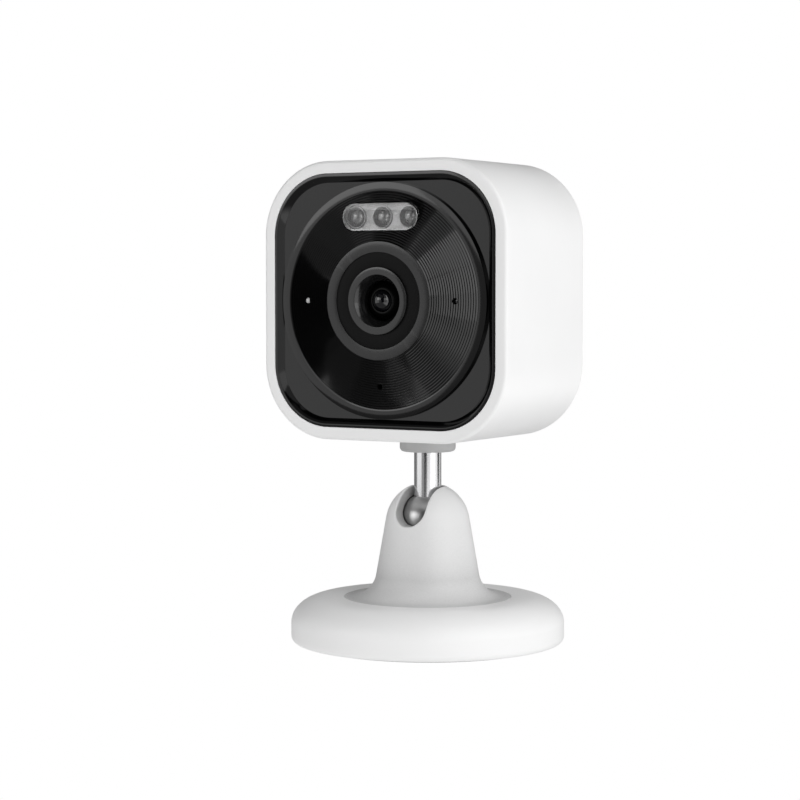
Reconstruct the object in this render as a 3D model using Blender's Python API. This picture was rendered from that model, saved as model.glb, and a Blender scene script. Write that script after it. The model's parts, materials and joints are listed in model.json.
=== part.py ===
"""A small indoor security camera on a ball-jointed table stand, as separate sub-parts.

Run with: blender --background --python part.py
Units are metres, +Z is up and the lens looks along -Y. The origin is the middle of the
base's underside, and the stem stands on the Z axis. Inside the head, sizes along the lens
axis are given as "out", the distance in front of the stem's axis (out = -y).
"""

from math import acos, asin, cos, degrees, pi, radians, sin, sqrt

import bmesh
import bpy
from mathutils import Vector

MM = 0.001
GAP = 0.3 * MM  # play left between neighbouring solids

# Head: a rounded square box, its face flush with the front of the shell.
HEAD_SIDE = 52.0 * MM
HEAD_CORNER = 14.0 * MM
HEAD_BOTTOM = 39.5 * MM
FACE_OUT = 17.0 * MM
REAR_OUT = -14.8 * MM
SHELL_WALL = 2.0 * MM
SHELL_RIM = 2.35 * MM
AXIS_Z = HEAD_BOTTOM + HEAD_SIDE / 2

# Black face: a lip, a chamfer down to a flat, and a raised cone around the lens.
LIP_WIDTH = 0.68 * MM
FLAT_HALF = 21.92 * MM
FLAT_OUT = 16.14 * MM
BOSS_RADIUS = 21.55 * MM
BOSS_OUT = 16.9 * MM
CONE_FOOT_RADIUS = 20.4 * MM
CONE_TOP_RADIUS = 10.95 * MM
CONE_TOP_OUT = 18.54 * MM
LENS_BORE_RADIUS = 10.6 * MM
LENS_RING_INNER = 8.9 * MM
BEZEL_BACK_OUT = 14.6 * MM
PIN_HOLE_CIRCLE = 15.8 * MM  # status light, light sensor and microphone holes

# Lamp window above the lens.
LAMP_Z = AXIS_Z + 15.4 * MM
LAMP_HALF = 8.1 * MM
LAMP_RADIUS = 2.63 * MM
LED_PITCH = 5.6 * MM

# Lens group.
HOOD_OUT = 18.8 * MM
HOOD_RADIUS = 6.15 * MM
HOOD_MOUTH_RADIUS = 4.84 * MM
HOOD_THROAT_RADIUS = 3.75 * MM
HOOD_THROAT_OUT = 16.9 * MM
HOOD_LEDGE_OUT = 15.9 * MM
RINGS_REAR_OUT = 15.2 * MM
BARREL_RADIUS = 4.1 * MM
BARREL_BORE = 2.9 * MM
BARREL_FRONT_OUT = 16.95 * MM
BARREL_REAR_OUT = 5.0 * MM
GLASS_RADIUS = 2.0 * MM
GLASS_FOOT_OUT = 16.9 * MM
GLASS_RISE = 1.3 * MM
SENSOR_BOARD_OUT = 0.9 * MM
FILTER_TRAVEL = 4.2 * MM

# Boards and what is on them.
MAIN_BOARD_OUT = -3.0 * MM
BOARD_THICK = 1.3 * MM
SOCKET_Z = AXIS_Z - 15.0 * MM
BUTTON_X = 12.0 * MM
SPEAKER_Z = AXIS_Z + 8.0 * MM
SPEAKER_RADIUS = 8.2 * MM
STANDOFF_X = 16.5 * MM
STANDOFF_Z = 15.5 * MM

# Ball, stem and collar.
BALL_Z = 23.5 * MM
BALL_RADIUS = 5.2 * MM
STEM_RADIUS = 2.6 * MM
STEM_TOP = 44.2 * MM
COLLAR_RADIUS = 5.35 * MM
COLLAR_BOTTOM = 36.68 * MM

# Stand.
DOME_Z = 22.7 * MM
DOME_RADIUS = 8.07 * MM
CONE_DEG = 9.89  # how far the pedestal's side leans from upright
FOOT_FILLET = 5.0 * MM
SLOT_HALF = 3.1 * MM
SLOT_FOOT_Z = 22.8 * MM
MOUTH_RADIUS = 3.15 * MM
SOCKET_RADIUS = BALL_RADIUS + GAP
PEDESTAL_BORE = 5.7 * MM
FLANGE_RADIUS = 15.82 * MM
BASE_RADIUS = 26.14 * MM
BASE_TOP = 8.86 * MM
POST_CIRCLE = 12.2 * MM

# How finely round shapes are divided.
BASE_STEPS = 40
BODY_STEPS = 24
SMALL_STEPS = 14
TINY_STEPS = 10
CORNER_STEPS = 7

FINISHES = {
    # name: (colour, roughness, metallic)
    "white_plastic": ((0.86, 0.86, 0.86), 0.45, 0.0),
    "black_gloss": ((0.02, 0.02, 0.02), 0.12, 0.0),
    "black_matt": ((0.012, 0.012, 0.012), 0.6, 0.0),
    "grey_plastic": ((0.6, 0.6, 0.6), 0.5, 0.0),
    "chrome": ((0.8, 0.8, 0.8), 0.12, 1.0),
    "steel": ((0.5, 0.5, 0.5), 0.4, 1.0),
    "brass": ((0.75, 0.58, 0.3), 0.35, 1.0),
    "rubber": ((0.05, 0.05, 0.05), 0.85, 0.0),
    "clear": ((0.8, 0.82, 0.84), 0.08, 0.0),
    "lens_glass": ((0.1, 0.12, 0.16), 0.03, 0.0),
    "board_green": ((0.03, 0.16, 0.07), 0.5, 0.0),
    "chip_black": ((0.03, 0.03, 0.03), 0.5, 0.0),
}


def clear_scene():
    """Empties the startup scene without closing the file that this script runs from."""
    for obj in list(bpy.data.objects):
        bpy.data.objects.remove(obj, do_unlink=True)


def finish(name, kind):
    """A material of the part's own, in one of the finishes above."""
    colour, roughness, metallic = FINISHES[kind]
    material = bpy.data.materials.new(name + "_" + kind)
    material.use_nodes = True
    shader = material.node_tree.nodes["Principled BSDF"]
    shader.inputs["Base Color"].default_value = (*colour, 1.0)
    shader.inputs["Roughness"].default_value = roughness
    shader.inputs["Metallic"].default_value = metallic
    return material


def empty(name, at, parent=None):
    """A parent for the pieces of one body, on that body's joint axis."""
    made = bpy.data.objects.new(name, None)
    bpy.context.scene.collection.objects.link(made)
    made.parent = parent
    made.location = Vector(at) - (world_place(parent) if parent else Vector())
    return made


def world_place(obj):
    """Where an empty stands; the empties are never turned, so their locations add up."""
    place = Vector(obj.location)
    if obj.parent:
        place += world_place(obj.parent)
    return place


def piece(name, bm, kind, parent, at=(0, 0, 0), facing_front=False, sharp_deg=35):
    """Makes a named object from a bmesh, whose own +Z points forward when facing_front."""
    bmesh.ops.remove_doubles(bm, verts=bm.verts, dist=1e-7)
    bmesh.ops.recalc_face_normals(bm, faces=bm.faces)
    mesh = bpy.data.meshes.new(name)
    bm.to_mesh(mesh)
    bm.free()
    mesh.shade_smooth()
    mesh.set_sharp_from_angle(angle=radians(sharp_deg))
    obj = bpy.data.objects.new(name, mesh)
    bpy.context.scene.collection.objects.link(obj)
    if kind:
        mesh.materials.append(finish(name, kind))
    if facing_front:
        obj.rotation_euler = (pi / 2, 0, 0)
    if parent:
        obj.parent = parent
        obj.location = Vector(at) - world_place(parent)
    else:
        obj.location = at
    return obj


def turned_mesh(profile, steps, closed=True):
    """Spins a profile of (radius, height) points about Z. A closed one makes a ring."""
    bm = bmesh.new()
    points = [bm.verts.new((r, 0, z)) for r, z in profile]
    edges = [bm.edges.new(pair) for pair in zip(points, points[1:])]
    if closed:
        edges.append(bm.edges.new((points[-1], points[0])))
    bmesh.ops.spin(bm, geom=points + edges, cent=(0, 0, 0), axis=(0, 0, 1),
                   angle=2 * pi, steps=steps, use_merge=True)
    return bm


def tube_mesh(inner, outer, low, high, steps):
    """A plain ring between two radii and two heights."""
    return turned_mesh([(inner, low), (outer, low), (outer, high), (inner, high)], steps)


def disc_mesh(radius, low, high, steps):
    """A plain solid disc or pin."""
    return turned_mesh([(0, low), (radius, low), (radius, high), (0, high)], steps, closed=False)


def block_mesh(size, centre=(0, 0, 0), bevel=0.0):
    """A box of the given size, with its edges bevelled if asked."""
    bm = bmesh.new()
    bmesh.ops.create_cube(bm, size=1.0)
    bmesh.ops.scale(bm, vec=size, verts=bm.verts)
    if bevel:
        bmesh.ops.bevel(bm, geom=bm.edges[:], offset=bevel, segments=1, affect="EDGES")
    bmesh.ops.translate(bm, vec=centre, verts=bm.verts)
    return bm


def arc(centre, radius, start_deg, end_deg, steps):
    """Points of a circular arc in a (radius, height) profile."""
    angles = [radians(start_deg + (end_deg - start_deg) * i / steps) for i in range(steps + 1)]
    return [(centre[0] + radius * cos(a), centre[1] + radius * sin(a)) for a in angles]


def rounded_square(half, corner, corner_steps=CORNER_STEPS, side_steps=5):
    """Points round a rounded square, counter-clockwise, evenly many for each quarter."""
    points = []
    for quarter in range(4):
        turn = quarter * pi / 2
        inner = half - corner
        local = [(inner + corner * cos(a), inner + corner * sin(a))
                 for a in (pi / 2 * i / corner_steps for i in range(corner_steps + 1))]
        local += [(inner - 2 * inner * i / side_steps, half) for i in range(1, side_steps)]
        points += [(x * cos(turn) - y * sin(turn), x * sin(turn) + y * cos(turn)) for x, y in local]
    return points


def circle(radius, like):
    """A circle with as many points as a rounded square, matched at the middles of its corners."""
    count = len(like)
    first = pi / 4 - CORNER_STEPS / 2 * 2 * pi / count
    return [(radius * cos(first + 2 * pi * i / count), radius * sin(first + 2 * pi * i / count))
            for i in range(count)]


def pill(half, radius, steps=8):
    """An upright outline with round ends, 2 * half wide and 2 * radius high."""
    middle = half - radius
    right = [(middle + radius * cos(a), radius * sin(a))
             for a in (pi * i / steps - pi / 2 for i in range(steps + 1))]
    return right + [(-x, -y) for x, y in right]


def lofted_mesh(loops, closed):
    """Skins through outlines at (points, height). A closed loft is a sleeve, else it is capped."""
    bm = bmesh.new()
    rings = [[bm.verts.new((x, y, z)) for x, y in points] for points, z in loops]
    pairs = list(zip(rings, rings[1:]))
    if closed:
        pairs.append((rings[-1], rings[0]))
    count = len(rings[0])
    for low, high in pairs:
        for i in range(count):
            j = (i + 1) % count
            bm.faces.new((low[i], low[j], high[j], high[i]))
    if not closed:
        bm.faces.new(rings[0])
        bm.faces.new(rings[-1])
    return bm


def prism_mesh(outline, low, high):
    """A straight solid of one outline."""
    return lofted_mesh([(outline, low), (outline, high)], closed=False)


def cut(target, cutter_mesh, at=(0, 0, 0), facing_front=False, operation="DIFFERENCE"):
    """Cuts a helper shape out of a piece, or joins it on, with a Boolean that stays on it."""
    count = len(target.modifiers) + 1
    helper = piece(f"{target.name}_helper_{count}", cutter_mesh, None, None, at, facing_front)
    helper.hide_render = True
    helper.display_type = "WIRE"
    boolean = target.modifiers.new(f"helper_{count}", "BOOLEAN")
    boolean.operation = operation
    boolean.object = helper
    boolean.solver = "EXACT"


def on_circle(radius, count, start_deg=90):
    """Evenly spaced places on a circle about the Z axis."""
    angles = [radians(start_deg + 360 * i / count) for i in range(count)]
    return [(radius * cos(a), radius * sin(a)) for a in angles]


# ---------------------------------------------------------------- stand


def pedestal_outline():
    """The pedestal's outside: flange, foot fillet, leaning side, and dome up to the mouth."""
    lean = radians(CONE_DEG)
    side_foot = DOME_RADIUS * cos(lean)
    side_top_z = DOME_Z + DOME_RADIUS * sin(lean)
    fillet_z = BASE_TOP + FOOT_FILLET
    reach = (side_top_z - fillet_z) * sin(lean) / cos(lean)
    fillet_at = (side_foot + reach + FOOT_FILLET / cos(lean), fillet_z)
    fillet = arc(fillet_at, FOOT_FILLET, -90, -180 + CONE_DEG, 5)
    mouth_deg = degrees(acos(MOUTH_RADIUS / DOME_RADIUS))
    dome = arc((0, DOME_Z), DOME_RADIUS, CONE_DEG, mouth_deg, 6)
    return [(FLANGE_RADIUS, BASE_TOP)] + fillet + dome


def pedestal_bore():
    """The pedestal's inside, from the mouth down over the ball to the open tube's end."""
    mouth_deg = degrees(acos(MOUTH_RADIUS / SOCKET_RADIUS))
    socket = arc((0, BALL_Z), SOCKET_RADIUS, mouth_deg, 0, 4)
    return socket + [(PEDESTAL_BORE, BALL_Z - 1.4 * MM), (PEDESTAL_BORE, 5.0 * MM)]


def make_pedestal(stand):
    """Domed cone with a socket for the ball, and a slot that lets the stem fold forward."""
    under = [(9.4 * MM, 5.0 * MM), (9.4 * MM, 7.2 * MM), (FLANGE_RADIUS, 7.2 * MM)]
    profile = pedestal_outline() + pedestal_bore() + under
    body = piece("pedestal", turned_mesh(profile, BASE_STEPS), "white_plastic", stand)
    for x, y in on_circle(POST_CIRCLE, 3):
        post = disc_mesh(1.8 * MM, 2.9 * MM, 7.8 * MM, SMALL_STEPS)
        cut(body, post, at=(x, y, 0), operation="UNION")
        cut(body, disc_mesh(1.2 * MM, 1.0 * MM, 6.4 * MM, TINY_STEPS), at=(x, y, 0))
    round_foot = [(SLOT_HALF * cos(a), SLOT_HALF * sin(a))
                  for a in (-pi * i / 10 for i in range(11))]
    slot = round_foot + [(-SLOT_HALF, 9 * MM), (SLOT_HALF, 9 * MM)]
    cut(body, prism_mesh(slot, 0, 14 * MM), at=(0, 0, SLOT_FOOT_Z + SLOT_HALF), facing_front=True)


def make_base_shell(stand):
    """Round cover of the base, with a soft upper edge and a ledge under the flange."""
    wall = 1.84 * MM
    low = 0.3 * MM
    foot_round = 1.2 * MM
    shoulder_z = 4.0 * MM
    flat_radius = 19.7 * MM
    wide = BASE_RADIUS - flat_radius
    high = BASE_TOP - shoulder_z
    outside = arc((BASE_RADIUS - foot_round, low + foot_round), foot_round, -90, 0, 3)
    outside += [(flat_radius + wide * cos(a), shoulder_z + high * sin(a))
                for a in (pi / 2 * i / 6 for i in range(7))]
    hole = FLANGE_RADIUS + GAP
    inside = [(hole, BASE_TOP), (hole, 6.9 * MM), (14.4 * MM, 6.9 * MM), (14.4 * MM, 5.9 * MM),
              (21.3 * MM, 5.9 * MM), (BASE_RADIUS - wall, 3.4 * MM), (BASE_RADIUS - wall, low)]
    piece("base_shell", turned_mesh(outside + inside, BASE_STEPS), "white_plastic", stand)


def make_base_plate(stand):
    """Closing plate with three screw holes."""
    plate = piece("base_plate", disc_mesh(24.0 * MM, 1.2 * MM, 2.6 * MM, BASE_STEPS),
                  "white_plastic", stand)
    for x, y in on_circle(POST_CIRCLE, 3):
        cut(plate, disc_mesh(1.2 * MM, 0, 4 * MM, TINY_STEPS), at=(x, y, 0))


def make_ball_clamp(stand):
    """What presses the ball up into its socket: a cup, a coil spring and a screw plug."""
    rim = BALL_Z - 2.6 * MM
    foot = 15.0 * MM
    outer = PEDESTAL_BORE - GAP
    rim_deg = degrees(asin((rim - BALL_Z) / SOCKET_RADIUS))
    cup = arc((0, BALL_Z), SOCKET_RADIUS, -90, rim_deg, 4)
    cup += [(outer, rim), (outer, foot), (0, foot)]
    piece("ball_seat", turned_mesh(cup, BODY_STEPS, closed=False), "grey_plastic", stand)
    piece("seat_spring", spring_mesh(3.4 * MM, 0.45 * MM, 9.4 * MM, 14.2 * MM, 4), "steel", stand)
    plug = [(0, 6.6 * MM), (1.8 * MM, 6.6 * MM), (1.8 * MM, 5.4 * MM), (outer, 5.4 * MM),
            (outer, 8.6 * MM), (0, 8.6 * MM)]
    piece("seat_plug", turned_mesh(plug, BODY_STEPS, closed=False), "brass", stand)


def spring_mesh(mean_radius, wire_radius, low, high, turns):
    """A round wire wound in a helix, capped at both ends."""
    steps = turns * 14
    sides = 6
    bm = bmesh.new()
    rings = []
    for i in range(steps + 1):
        turn = 2 * pi * turns * i / steps
        z = low + (high - low) * i / steps
        ring = []
        for k in range(sides):
            a = 2 * pi * k / sides
            r = mean_radius + wire_radius * cos(a)
            ring.append(bm.verts.new((r * cos(turn), r * sin(turn), z + wire_radius * sin(a))))
        rings.append(ring)
    for first, second in zip(rings, rings[1:]):
        for k in range(sides):
            j = (k + 1) % sides
            bm.faces.new((first[k], first[j], second[j], second[k]))
    bm.faces.new(rings[0])
    bm.faces.new(rings[-1])
    return bm


def make_base_fittings(stand):
    """Rubber foot ring, steel ballast ring, and the three screws that close the base."""
    piece("foot_pad", tube_mesh(19.8 * MM, 23.9 * MM, 0, 0.9 * MM, BASE_STEPS), "rubber", stand)
    ballast = [(14.6 * MM, 2.9 * MM), (23.3 * MM, 2.9 * MM), (23.3 * MM, 3.7 * MM),
               (21.3 * MM, 5.3 * MM), (14.6 * MM, 5.3 * MM)]
    piece("ballast_ring", turned_mesh(ballast, BASE_STEPS), "steel", stand)
    for i, (x, y) in enumerate(on_circle(POST_CIRCLE, 3), start=1):
        screw = screw_mesh(1.9 * MM, 0.9 * MM, 0.55 * MM, 5.0 * MM)
        piece(f"base_screw_{i}", screw, "steel", stand, at=(x, y, 0.35 * MM))


def screw_mesh(head_radius, shank_radius, head_high, length):
    """A pan-head screw, head down, with its shank pointing up."""
    profile = [(0, 0.0), (head_radius * 0.75, 0.0), (head_radius, head_high * 0.4),
               (head_radius, head_high), (shank_radius, head_high), (shank_radius, length),
               (0, length)]
    return turned_mesh(profile, TINY_STEPS, closed=False)


# ---------------------------------------------------------------- ball and stem


def make_ball_stem(tilting):
    """Polished ball pressed onto a chromed stem, whose top is held in the head by a clip."""
    bore = STEM_RADIUS + GAP
    start_z = -1.2 * MM
    lip_deg = degrees(acos(bore / BALL_RADIUS))
    ball = arc((0, 0), BALL_RADIUS, -90, lip_deg, 10)
    ball += [(bore, start_z), (0, start_z)]
    piece("ball", turned_mesh(ball, BODY_STEPS, closed=False), "chrome", tilting, at=(0, 0, BALL_Z))
    foot = BALL_Z + start_z + GAP
    groove_low = 42.6 * MM
    groove_high = 43.8 * MM
    groove = STEM_RADIUS - 0.7 * MM
    chamfer = 0.3 * MM
    rod = [(0, foot), (STEM_RADIUS, foot), (STEM_RADIUS, groove_low), (groove, groove_low),
           (groove, groove_high), (STEM_RADIUS, groove_high),
           (STEM_RADIUS, STEM_TOP + 0.3 * MM), (STEM_RADIUS - chamfer, STEM_TOP + 0.6 * MM),
           (0, STEM_TOP + 0.6 * MM)]
    piece("stem_rod", turned_mesh(rod, BODY_STEPS, closed=False), "chrome", tilting)
    clip = tube_mesh(groove + GAP, 4.4 * MM, groove_low + GAP, groove_high - GAP, BODY_STEPS)
    ring = piece("stem_clip", clip, "steel", tilting)
    cut(ring, block_mesh((2.6 * MM, 6 * MM, 3 * MM)), at=(0, 4.0 * MM, (groove_low + groove_high) / 2))


# ---------------------------------------------------------------- head: casing


def make_shell(head):
    """White sleeve of the head, open at both ends, with a hole for the swivel collar."""
    half = HEAD_SIDE / 2
    round_front = 0.5 * MM
    round_rear = 1.0 * MM

    def loop(inset, out):
        return rounded_square(half - inset, HEAD_CORNER - inset), out

    loops = [
        loop(round_front, FACE_OUT),
        loop(0, FACE_OUT - round_front),
        loop(0, REAR_OUT + round_rear),
        loop(0.3 * round_rear, REAR_OUT + 0.3 * round_rear),
        loop(round_rear, REAR_OUT),
        loop(SHELL_WALL, REAR_OUT),
        loop(SHELL_WALL, BEZEL_BACK_OUT - GAP),
        loop(SHELL_RIM, BEZEL_BACK_OUT),
        loop(SHELL_RIM, FACE_OUT),
    ]
    shell = piece("shell", lofted_mesh(loops, closed=True), "white_plastic", head,
                  at=(0, 0, AXIS_Z), facing_front=True)
    cut(shell, disc_mesh(4.7 * MM, -3 * MM, 6 * MM, BODY_STEPS), at=(0, 0, HEAD_BOTTOM))


def make_rear_cover(head):
    """Inset back plate with a plug recess, a sound grille and a hole for the reset button."""
    half = HEAD_SIDE / 2 - SHELL_WALL - GAP
    corner = HEAD_CORNER - SHELL_WALL - GAP
    outer = -14.3 * MM
    inner = -12.5 * MM
    recess_floor = -9.9 * MM
    behind = -16.0 * MM
    inside = -8.0 * MM
    plate = prism_mesh(rounded_square(half, corner), outer, inner)
    cover = piece("rear_cover", plate, "white_plastic", head, at=(0, 0, AXIS_Z), facing_front=True)
    socket = (0, 0, SOCKET_Z)
    cut(cover, prism_mesh(pill(7.8 * MM, 5.0 * MM), -13.4 * MM, -8.7 * MM), at=socket,
        facing_front=True, operation="UNION")
    cut(cover, prism_mesh(pill(6.6 * MM, 3.8 * MM), behind, recess_floor), at=socket,
        facing_front=True)
    cut(cover, prism_mesh(pill(4.9 * MM, 1.95 * MM, 4), recess_floor - 1.0 * MM, inside),
        at=socket, facing_front=True)
    cut(cover, disc_mesh(1.95 * MM, behind, inside, SMALL_STEPS), at=(BUTTON_X, 0, SOCKET_Z),
        facing_front=True)
    holes = [(0.0, 0.0)]
    for ring in (1, 2):
        holes += on_circle(ring * 2.6 * MM, ring * 6)
    for x, z in holes:
        hole = disc_mesh(0.65 * MM, behind, inside, 6)  # six sides are enough at this size
        cut(cover, hole, at=(x, 0, SPEAKER_Z + z), facing_front=True)


def make_front_bezel(head):
    """Black face plate: lip, chamfer, flat, raised cone and its flat top round the lens."""
    outline_half = HEAD_SIDE / 2 - SHELL_RIM - GAP
    inset = HEAD_SIDE / 2 - HEAD_CORNER

    def square(half):
        return rounded_square(half, half - inset)

    def ring(radius):
        return circle(radius, square(outline_half))

    loops = [
        (square(outline_half), FACE_OUT),
        (square(outline_half + GAP - LIP_WIDTH), FACE_OUT),
        (square(FLAT_HALF), FLAT_OUT),
        (ring(BOSS_RADIUS), FLAT_OUT),
        (ring(BOSS_RADIUS), BOSS_OUT),
        (ring(CONE_FOOT_RADIUS), BOSS_OUT),
        (ring(CONE_TOP_RADIUS), CONE_TOP_OUT),
        (ring(LENS_BORE_RADIUS), CONE_TOP_OUT),
        (ring(LENS_BORE_RADIUS), BEZEL_BACK_OUT + GAP),
        (square(outline_half), BEZEL_BACK_OUT + GAP),
    ]
    bezel = piece("front_bezel", lofted_mesh(loops, closed=True), "black_gloss", head,
                  at=(0, 0, AXIS_Z), facing_front=True)
    inside = BEZEL_BACK_OUT - 4.0 * MM
    before = CONE_TOP_OUT + 2.0 * MM
    cut(bezel, prism_mesh(pill(LAMP_HALF, LAMP_RADIUS), inside, before), at=(0, 0, LAMP_Z),
        facing_front=True)
    for x, z in ((-1, 0), (1, 0), (0, -1)):
        place = (x * PIN_HOLE_CIRCLE, 0, AXIS_Z + z * PIN_HOLE_CIRCLE)
        cut(bezel, disc_mesh(0.9 * MM, inside, before, TINY_STEPS), at=place, facing_front=True)


def make_swivel(head):
    """Collar under the head that the stem turns in, and the washer above the shell's floor."""
    bore = STEM_RADIUS + GAP
    top = HEAD_BOTTOM - GAP
    spigot = 4.4 * MM
    spigot_top = HEAD_BOTTOM + SHELL_WALL - 0.2 * MM
    edge = 0.8 * MM
    profile = [(bore, COLLAR_BOTTOM)]
    profile += arc((COLLAR_RADIUS - edge, COLLAR_BOTTOM + edge), edge, -90, 0, 3)
    profile += [(COLLAR_RADIUS, top), (spigot, top), (spigot, spigot_top), (bore, spigot_top)]
    piece("mount_collar", turned_mesh(profile, BODY_STEPS), "grey_plastic", head)
    washer_low = HEAD_BOTTOM + SHELL_WALL + GAP
    washer = tube_mesh(bore, 6.0 * MM, washer_low, washer_low + 0.7 * MM, BODY_STEPS)
    piece("swivel_washer", washer, "steel", head)


# ---------------------------------------------------------------- head: lens group


def make_lens(head):
    """Rings, hood, barrel and its two glasses, all turned about the lens axis."""
    at = (0, 0, AXIS_Z)

    def lens_piece(name, bm, kind):
        piece(name, bm, kind, head, at=at, facing_front=True)

    ring = tube_mesh(LENS_RING_INNER, LENS_BORE_RADIUS - GAP, RINGS_REAR_OUT, 18.5 * MM,
                     BODY_STEPS)
    lens_piece("lens_ring", ring, "black_gloss")
    trim = tube_mesh(HOOD_RADIUS + GAP, LENS_RING_INNER - GAP, RINGS_REAR_OUT, 18.25 * MM,
                     BODY_STEPS)
    lens_piece("lens_trim", trim, "black_matt")
    hood_bore = BARREL_RADIUS + GAP
    hood_rear = 12.6 * MM
    hood = [(hood_bore, hood_rear), (HOOD_RADIUS, hood_rear), (HOOD_RADIUS, HOOD_OUT),
            (HOOD_MOUTH_RADIUS, HOOD_OUT), (HOOD_THROAT_RADIUS, HOOD_THROAT_OUT),
            (HOOD_THROAT_RADIUS, HOOD_LEDGE_OUT), (hood_bore, HOOD_LEDGE_OUT)]
    lens_piece("lens_hood", turned_mesh(hood, BODY_STEPS), "black_gloss")
    shoulder = HOOD_LEDGE_OUT - GAP
    nose = HOOD_THROAT_RADIUS - 0.35 * MM
    nose_tip = 2.6 * MM
    mouth = GLASS_RADIUS + GAP
    lip = 15.7 * MM
    barrel = [(BARREL_BORE, BARREL_REAR_OUT), (BARREL_RADIUS, BARREL_REAR_OUT),
              (BARREL_RADIUS, shoulder), (nose, shoulder), (nose_tip, BARREL_FRONT_OUT),
              (mouth, BARREL_FRONT_OUT), (mouth, lip), (BARREL_BORE, lip)]
    lens_piece("lens_barrel", turned_mesh(barrel, BODY_STEPS), "black_matt")
    flange = BARREL_BORE - GAP
    flange_rear = 13.8 * MM
    flange_front = lip - GAP
    sphere = (GLASS_RADIUS ** 2 + GLASS_RISE ** 2) / (2 * GLASS_RISE)
    centre = GLASS_FOOT_OUT + GLASS_RISE - sphere
    dome = [(GLASS_RADIUS * cos(a), sqrt(sphere ** 2 - (GLASS_RADIUS * cos(a)) ** 2) + centre)
            for a in (pi / 2 * i / 5 for i in range(5))]
    glass = [(0, flange_rear), (flange, flange_rear), (flange, flange_front),
             (GLASS_RADIUS, flange_front)] + dome + [(0, GLASS_FOOT_OUT + GLASS_RISE)]
    lens_piece("lens_front_glass", turned_mesh(glass, BODY_STEPS, closed=False), "lens_glass")
    rear = disc_mesh(flange, BARREL_REAR_OUT + 0.5 * MM, BARREL_REAR_OUT + 1.9 * MM, BODY_STEPS)
    lens_piece("lens_rear_glass", rear, "lens_glass")


def make_lens_holder(head, filter_slide):
    """Block that carries the barrel over the sensor, with a pocket for the sliding filter."""
    low = SENSOR_BOARD_OUT + GAP
    high = 9.5 * MM
    holder_mesh = block_mesh((17.2 * MM, 13.0 * MM, high - low), (0, 0, (low + high) / 2))
    holder = piece("lens_holder", holder_mesh, "black_matt", head, at=(0, 0, AXIS_Z),
                   facing_front=True)
    cut(holder, disc_mesh(BARREL_RADIUS + GAP, 3 * MM, 12 * MM, BODY_STEPS), at=(0, 0, AXIS_Z),
        facing_front=True)
    pocket = block_mesh((14.4 * MM, 9.4 * MM, 6.8 * MM), (0, 0, 1.0 * MM))
    cut(holder, pocket, at=(0, 0, AXIS_Z), facing_front=True)
    plate = block_mesh((9.2 * MM, 8.4 * MM, 0.7 * MM), (-2.0 * MM, 0, 3.3 * MM))
    slide = piece("ir_filter_slide", plate, "lens_glass", filter_slide, at=(0, 0, AXIS_Z),
                  facing_front=True)
    window = block_mesh((3.0 * MM, 5.6 * MM, 2.0 * MM), (-FILTER_TRAVEL, 0, 3.3 * MM))
    cut(slide, window, at=(0, 0, AXIS_Z), facing_front=True)
    chip = block_mesh((6.4 * MM, 5.4 * MM, 0.9 * MM), (0, 0, SENSOR_BOARD_OUT + 0.75 * MM))
    piece("image_sensor", chip, "chip_black", head, at=(0, 0, AXIS_Z), facing_front=True)
    board_block("filter_actuator", (6.0 * MM, 4.0 * MM, 4.6 * MM),
                (0, 8.9 * MM, low + 2.3 * MM), "chip_black", head)


# ---------------------------------------------------------------- head: boards


def board_block(name, size, centre, kind, head, bevel=0.0):
    """A block in the head, sized and placed by (across, up, out) from the lens axis."""
    piece(name, block_mesh(size, centre, bevel), kind, head, at=(0, 0, AXIS_Z), facing_front=True)


def make_boards(head):
    """Sensor board, main board, their connector, the processor and its heat spreader."""
    board_block("sensor_board", (22 * MM, 22 * MM, BOARD_THICK),
                (0, 0, SENSOR_BOARD_OUT - BOARD_THICK / 2), "board_green", head)
    board_block("board_connector", (10 * MM, 2.4 * MM, 2.0 * MM),
                (0, -8 * MM, SENSOR_BOARD_OUT - BOARD_THICK - GAP - 1.0 * MM), "grey_plastic", head)
    main = block_mesh((40 * MM, 38 * MM, BOARD_THICK), (0, 0, MAIN_BOARD_OUT - BOARD_THICK / 2))
    board = piece("main_board", main, "board_green", head, at=(0, 0, AXIS_Z), facing_front=True)
    for x, z in standoff_places():
        cut(board, disc_mesh(1.2 * MM, -8 * MM, 0, TINY_STEPS), at=(x, 0, AXIS_Z + z),
            facing_front=True)
    rear = MAIN_BOARD_OUT - BOARD_THICK - GAP
    board_block("processor", (11 * MM, 11 * MM, 1.0 * MM), (0, 8 * MM, rear - 0.5 * MM),
                "chip_black", head)
    board_block("heat_spreader", (24 * MM, 18 * MM, 0.8 * MM), (0, 8 * MM, rear - 1.7 * MM),
                "steel", head)
    board_block("wifi_module", (7.0 * MM, 8.0 * MM, 1.6 * MM),
                (-15.2 * MM, 0, MAIN_BOARD_OUT + GAP + 0.8 * MM), "steel", head)
    board_block("antenna_board", (0.7 * MM, 20 * MM, 8 * MM), (22.6 * MM, 0, 3 * MM),
                "board_green", head)
    speaker_top = rear - 2.6 * MM
    speaker = [(0, -12.2 * MM), (SPEAKER_RADIUS - 1.4 * MM, -12.2 * MM),
               (SPEAKER_RADIUS, -11.2 * MM), (SPEAKER_RADIUS, speaker_top - 1.2 * MM),
               (SPEAKER_RADIUS - 2.6 * MM, speaker_top - 0.1 * MM), (0, speaker_top - 0.1 * MM)]
    piece("speaker", turned_mesh(speaker, BODY_STEPS, closed=False), "chip_black", head,
          at=(0, 0, SPEAKER_Z), facing_front=True)


def standoff_places():
    """The main board's four fixing points, about the lens axis."""
    return [(sx * STANDOFF_X, sz * STANDOFF_Z) for sx in (-1, 1) for sz in (-1, 1)]


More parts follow.
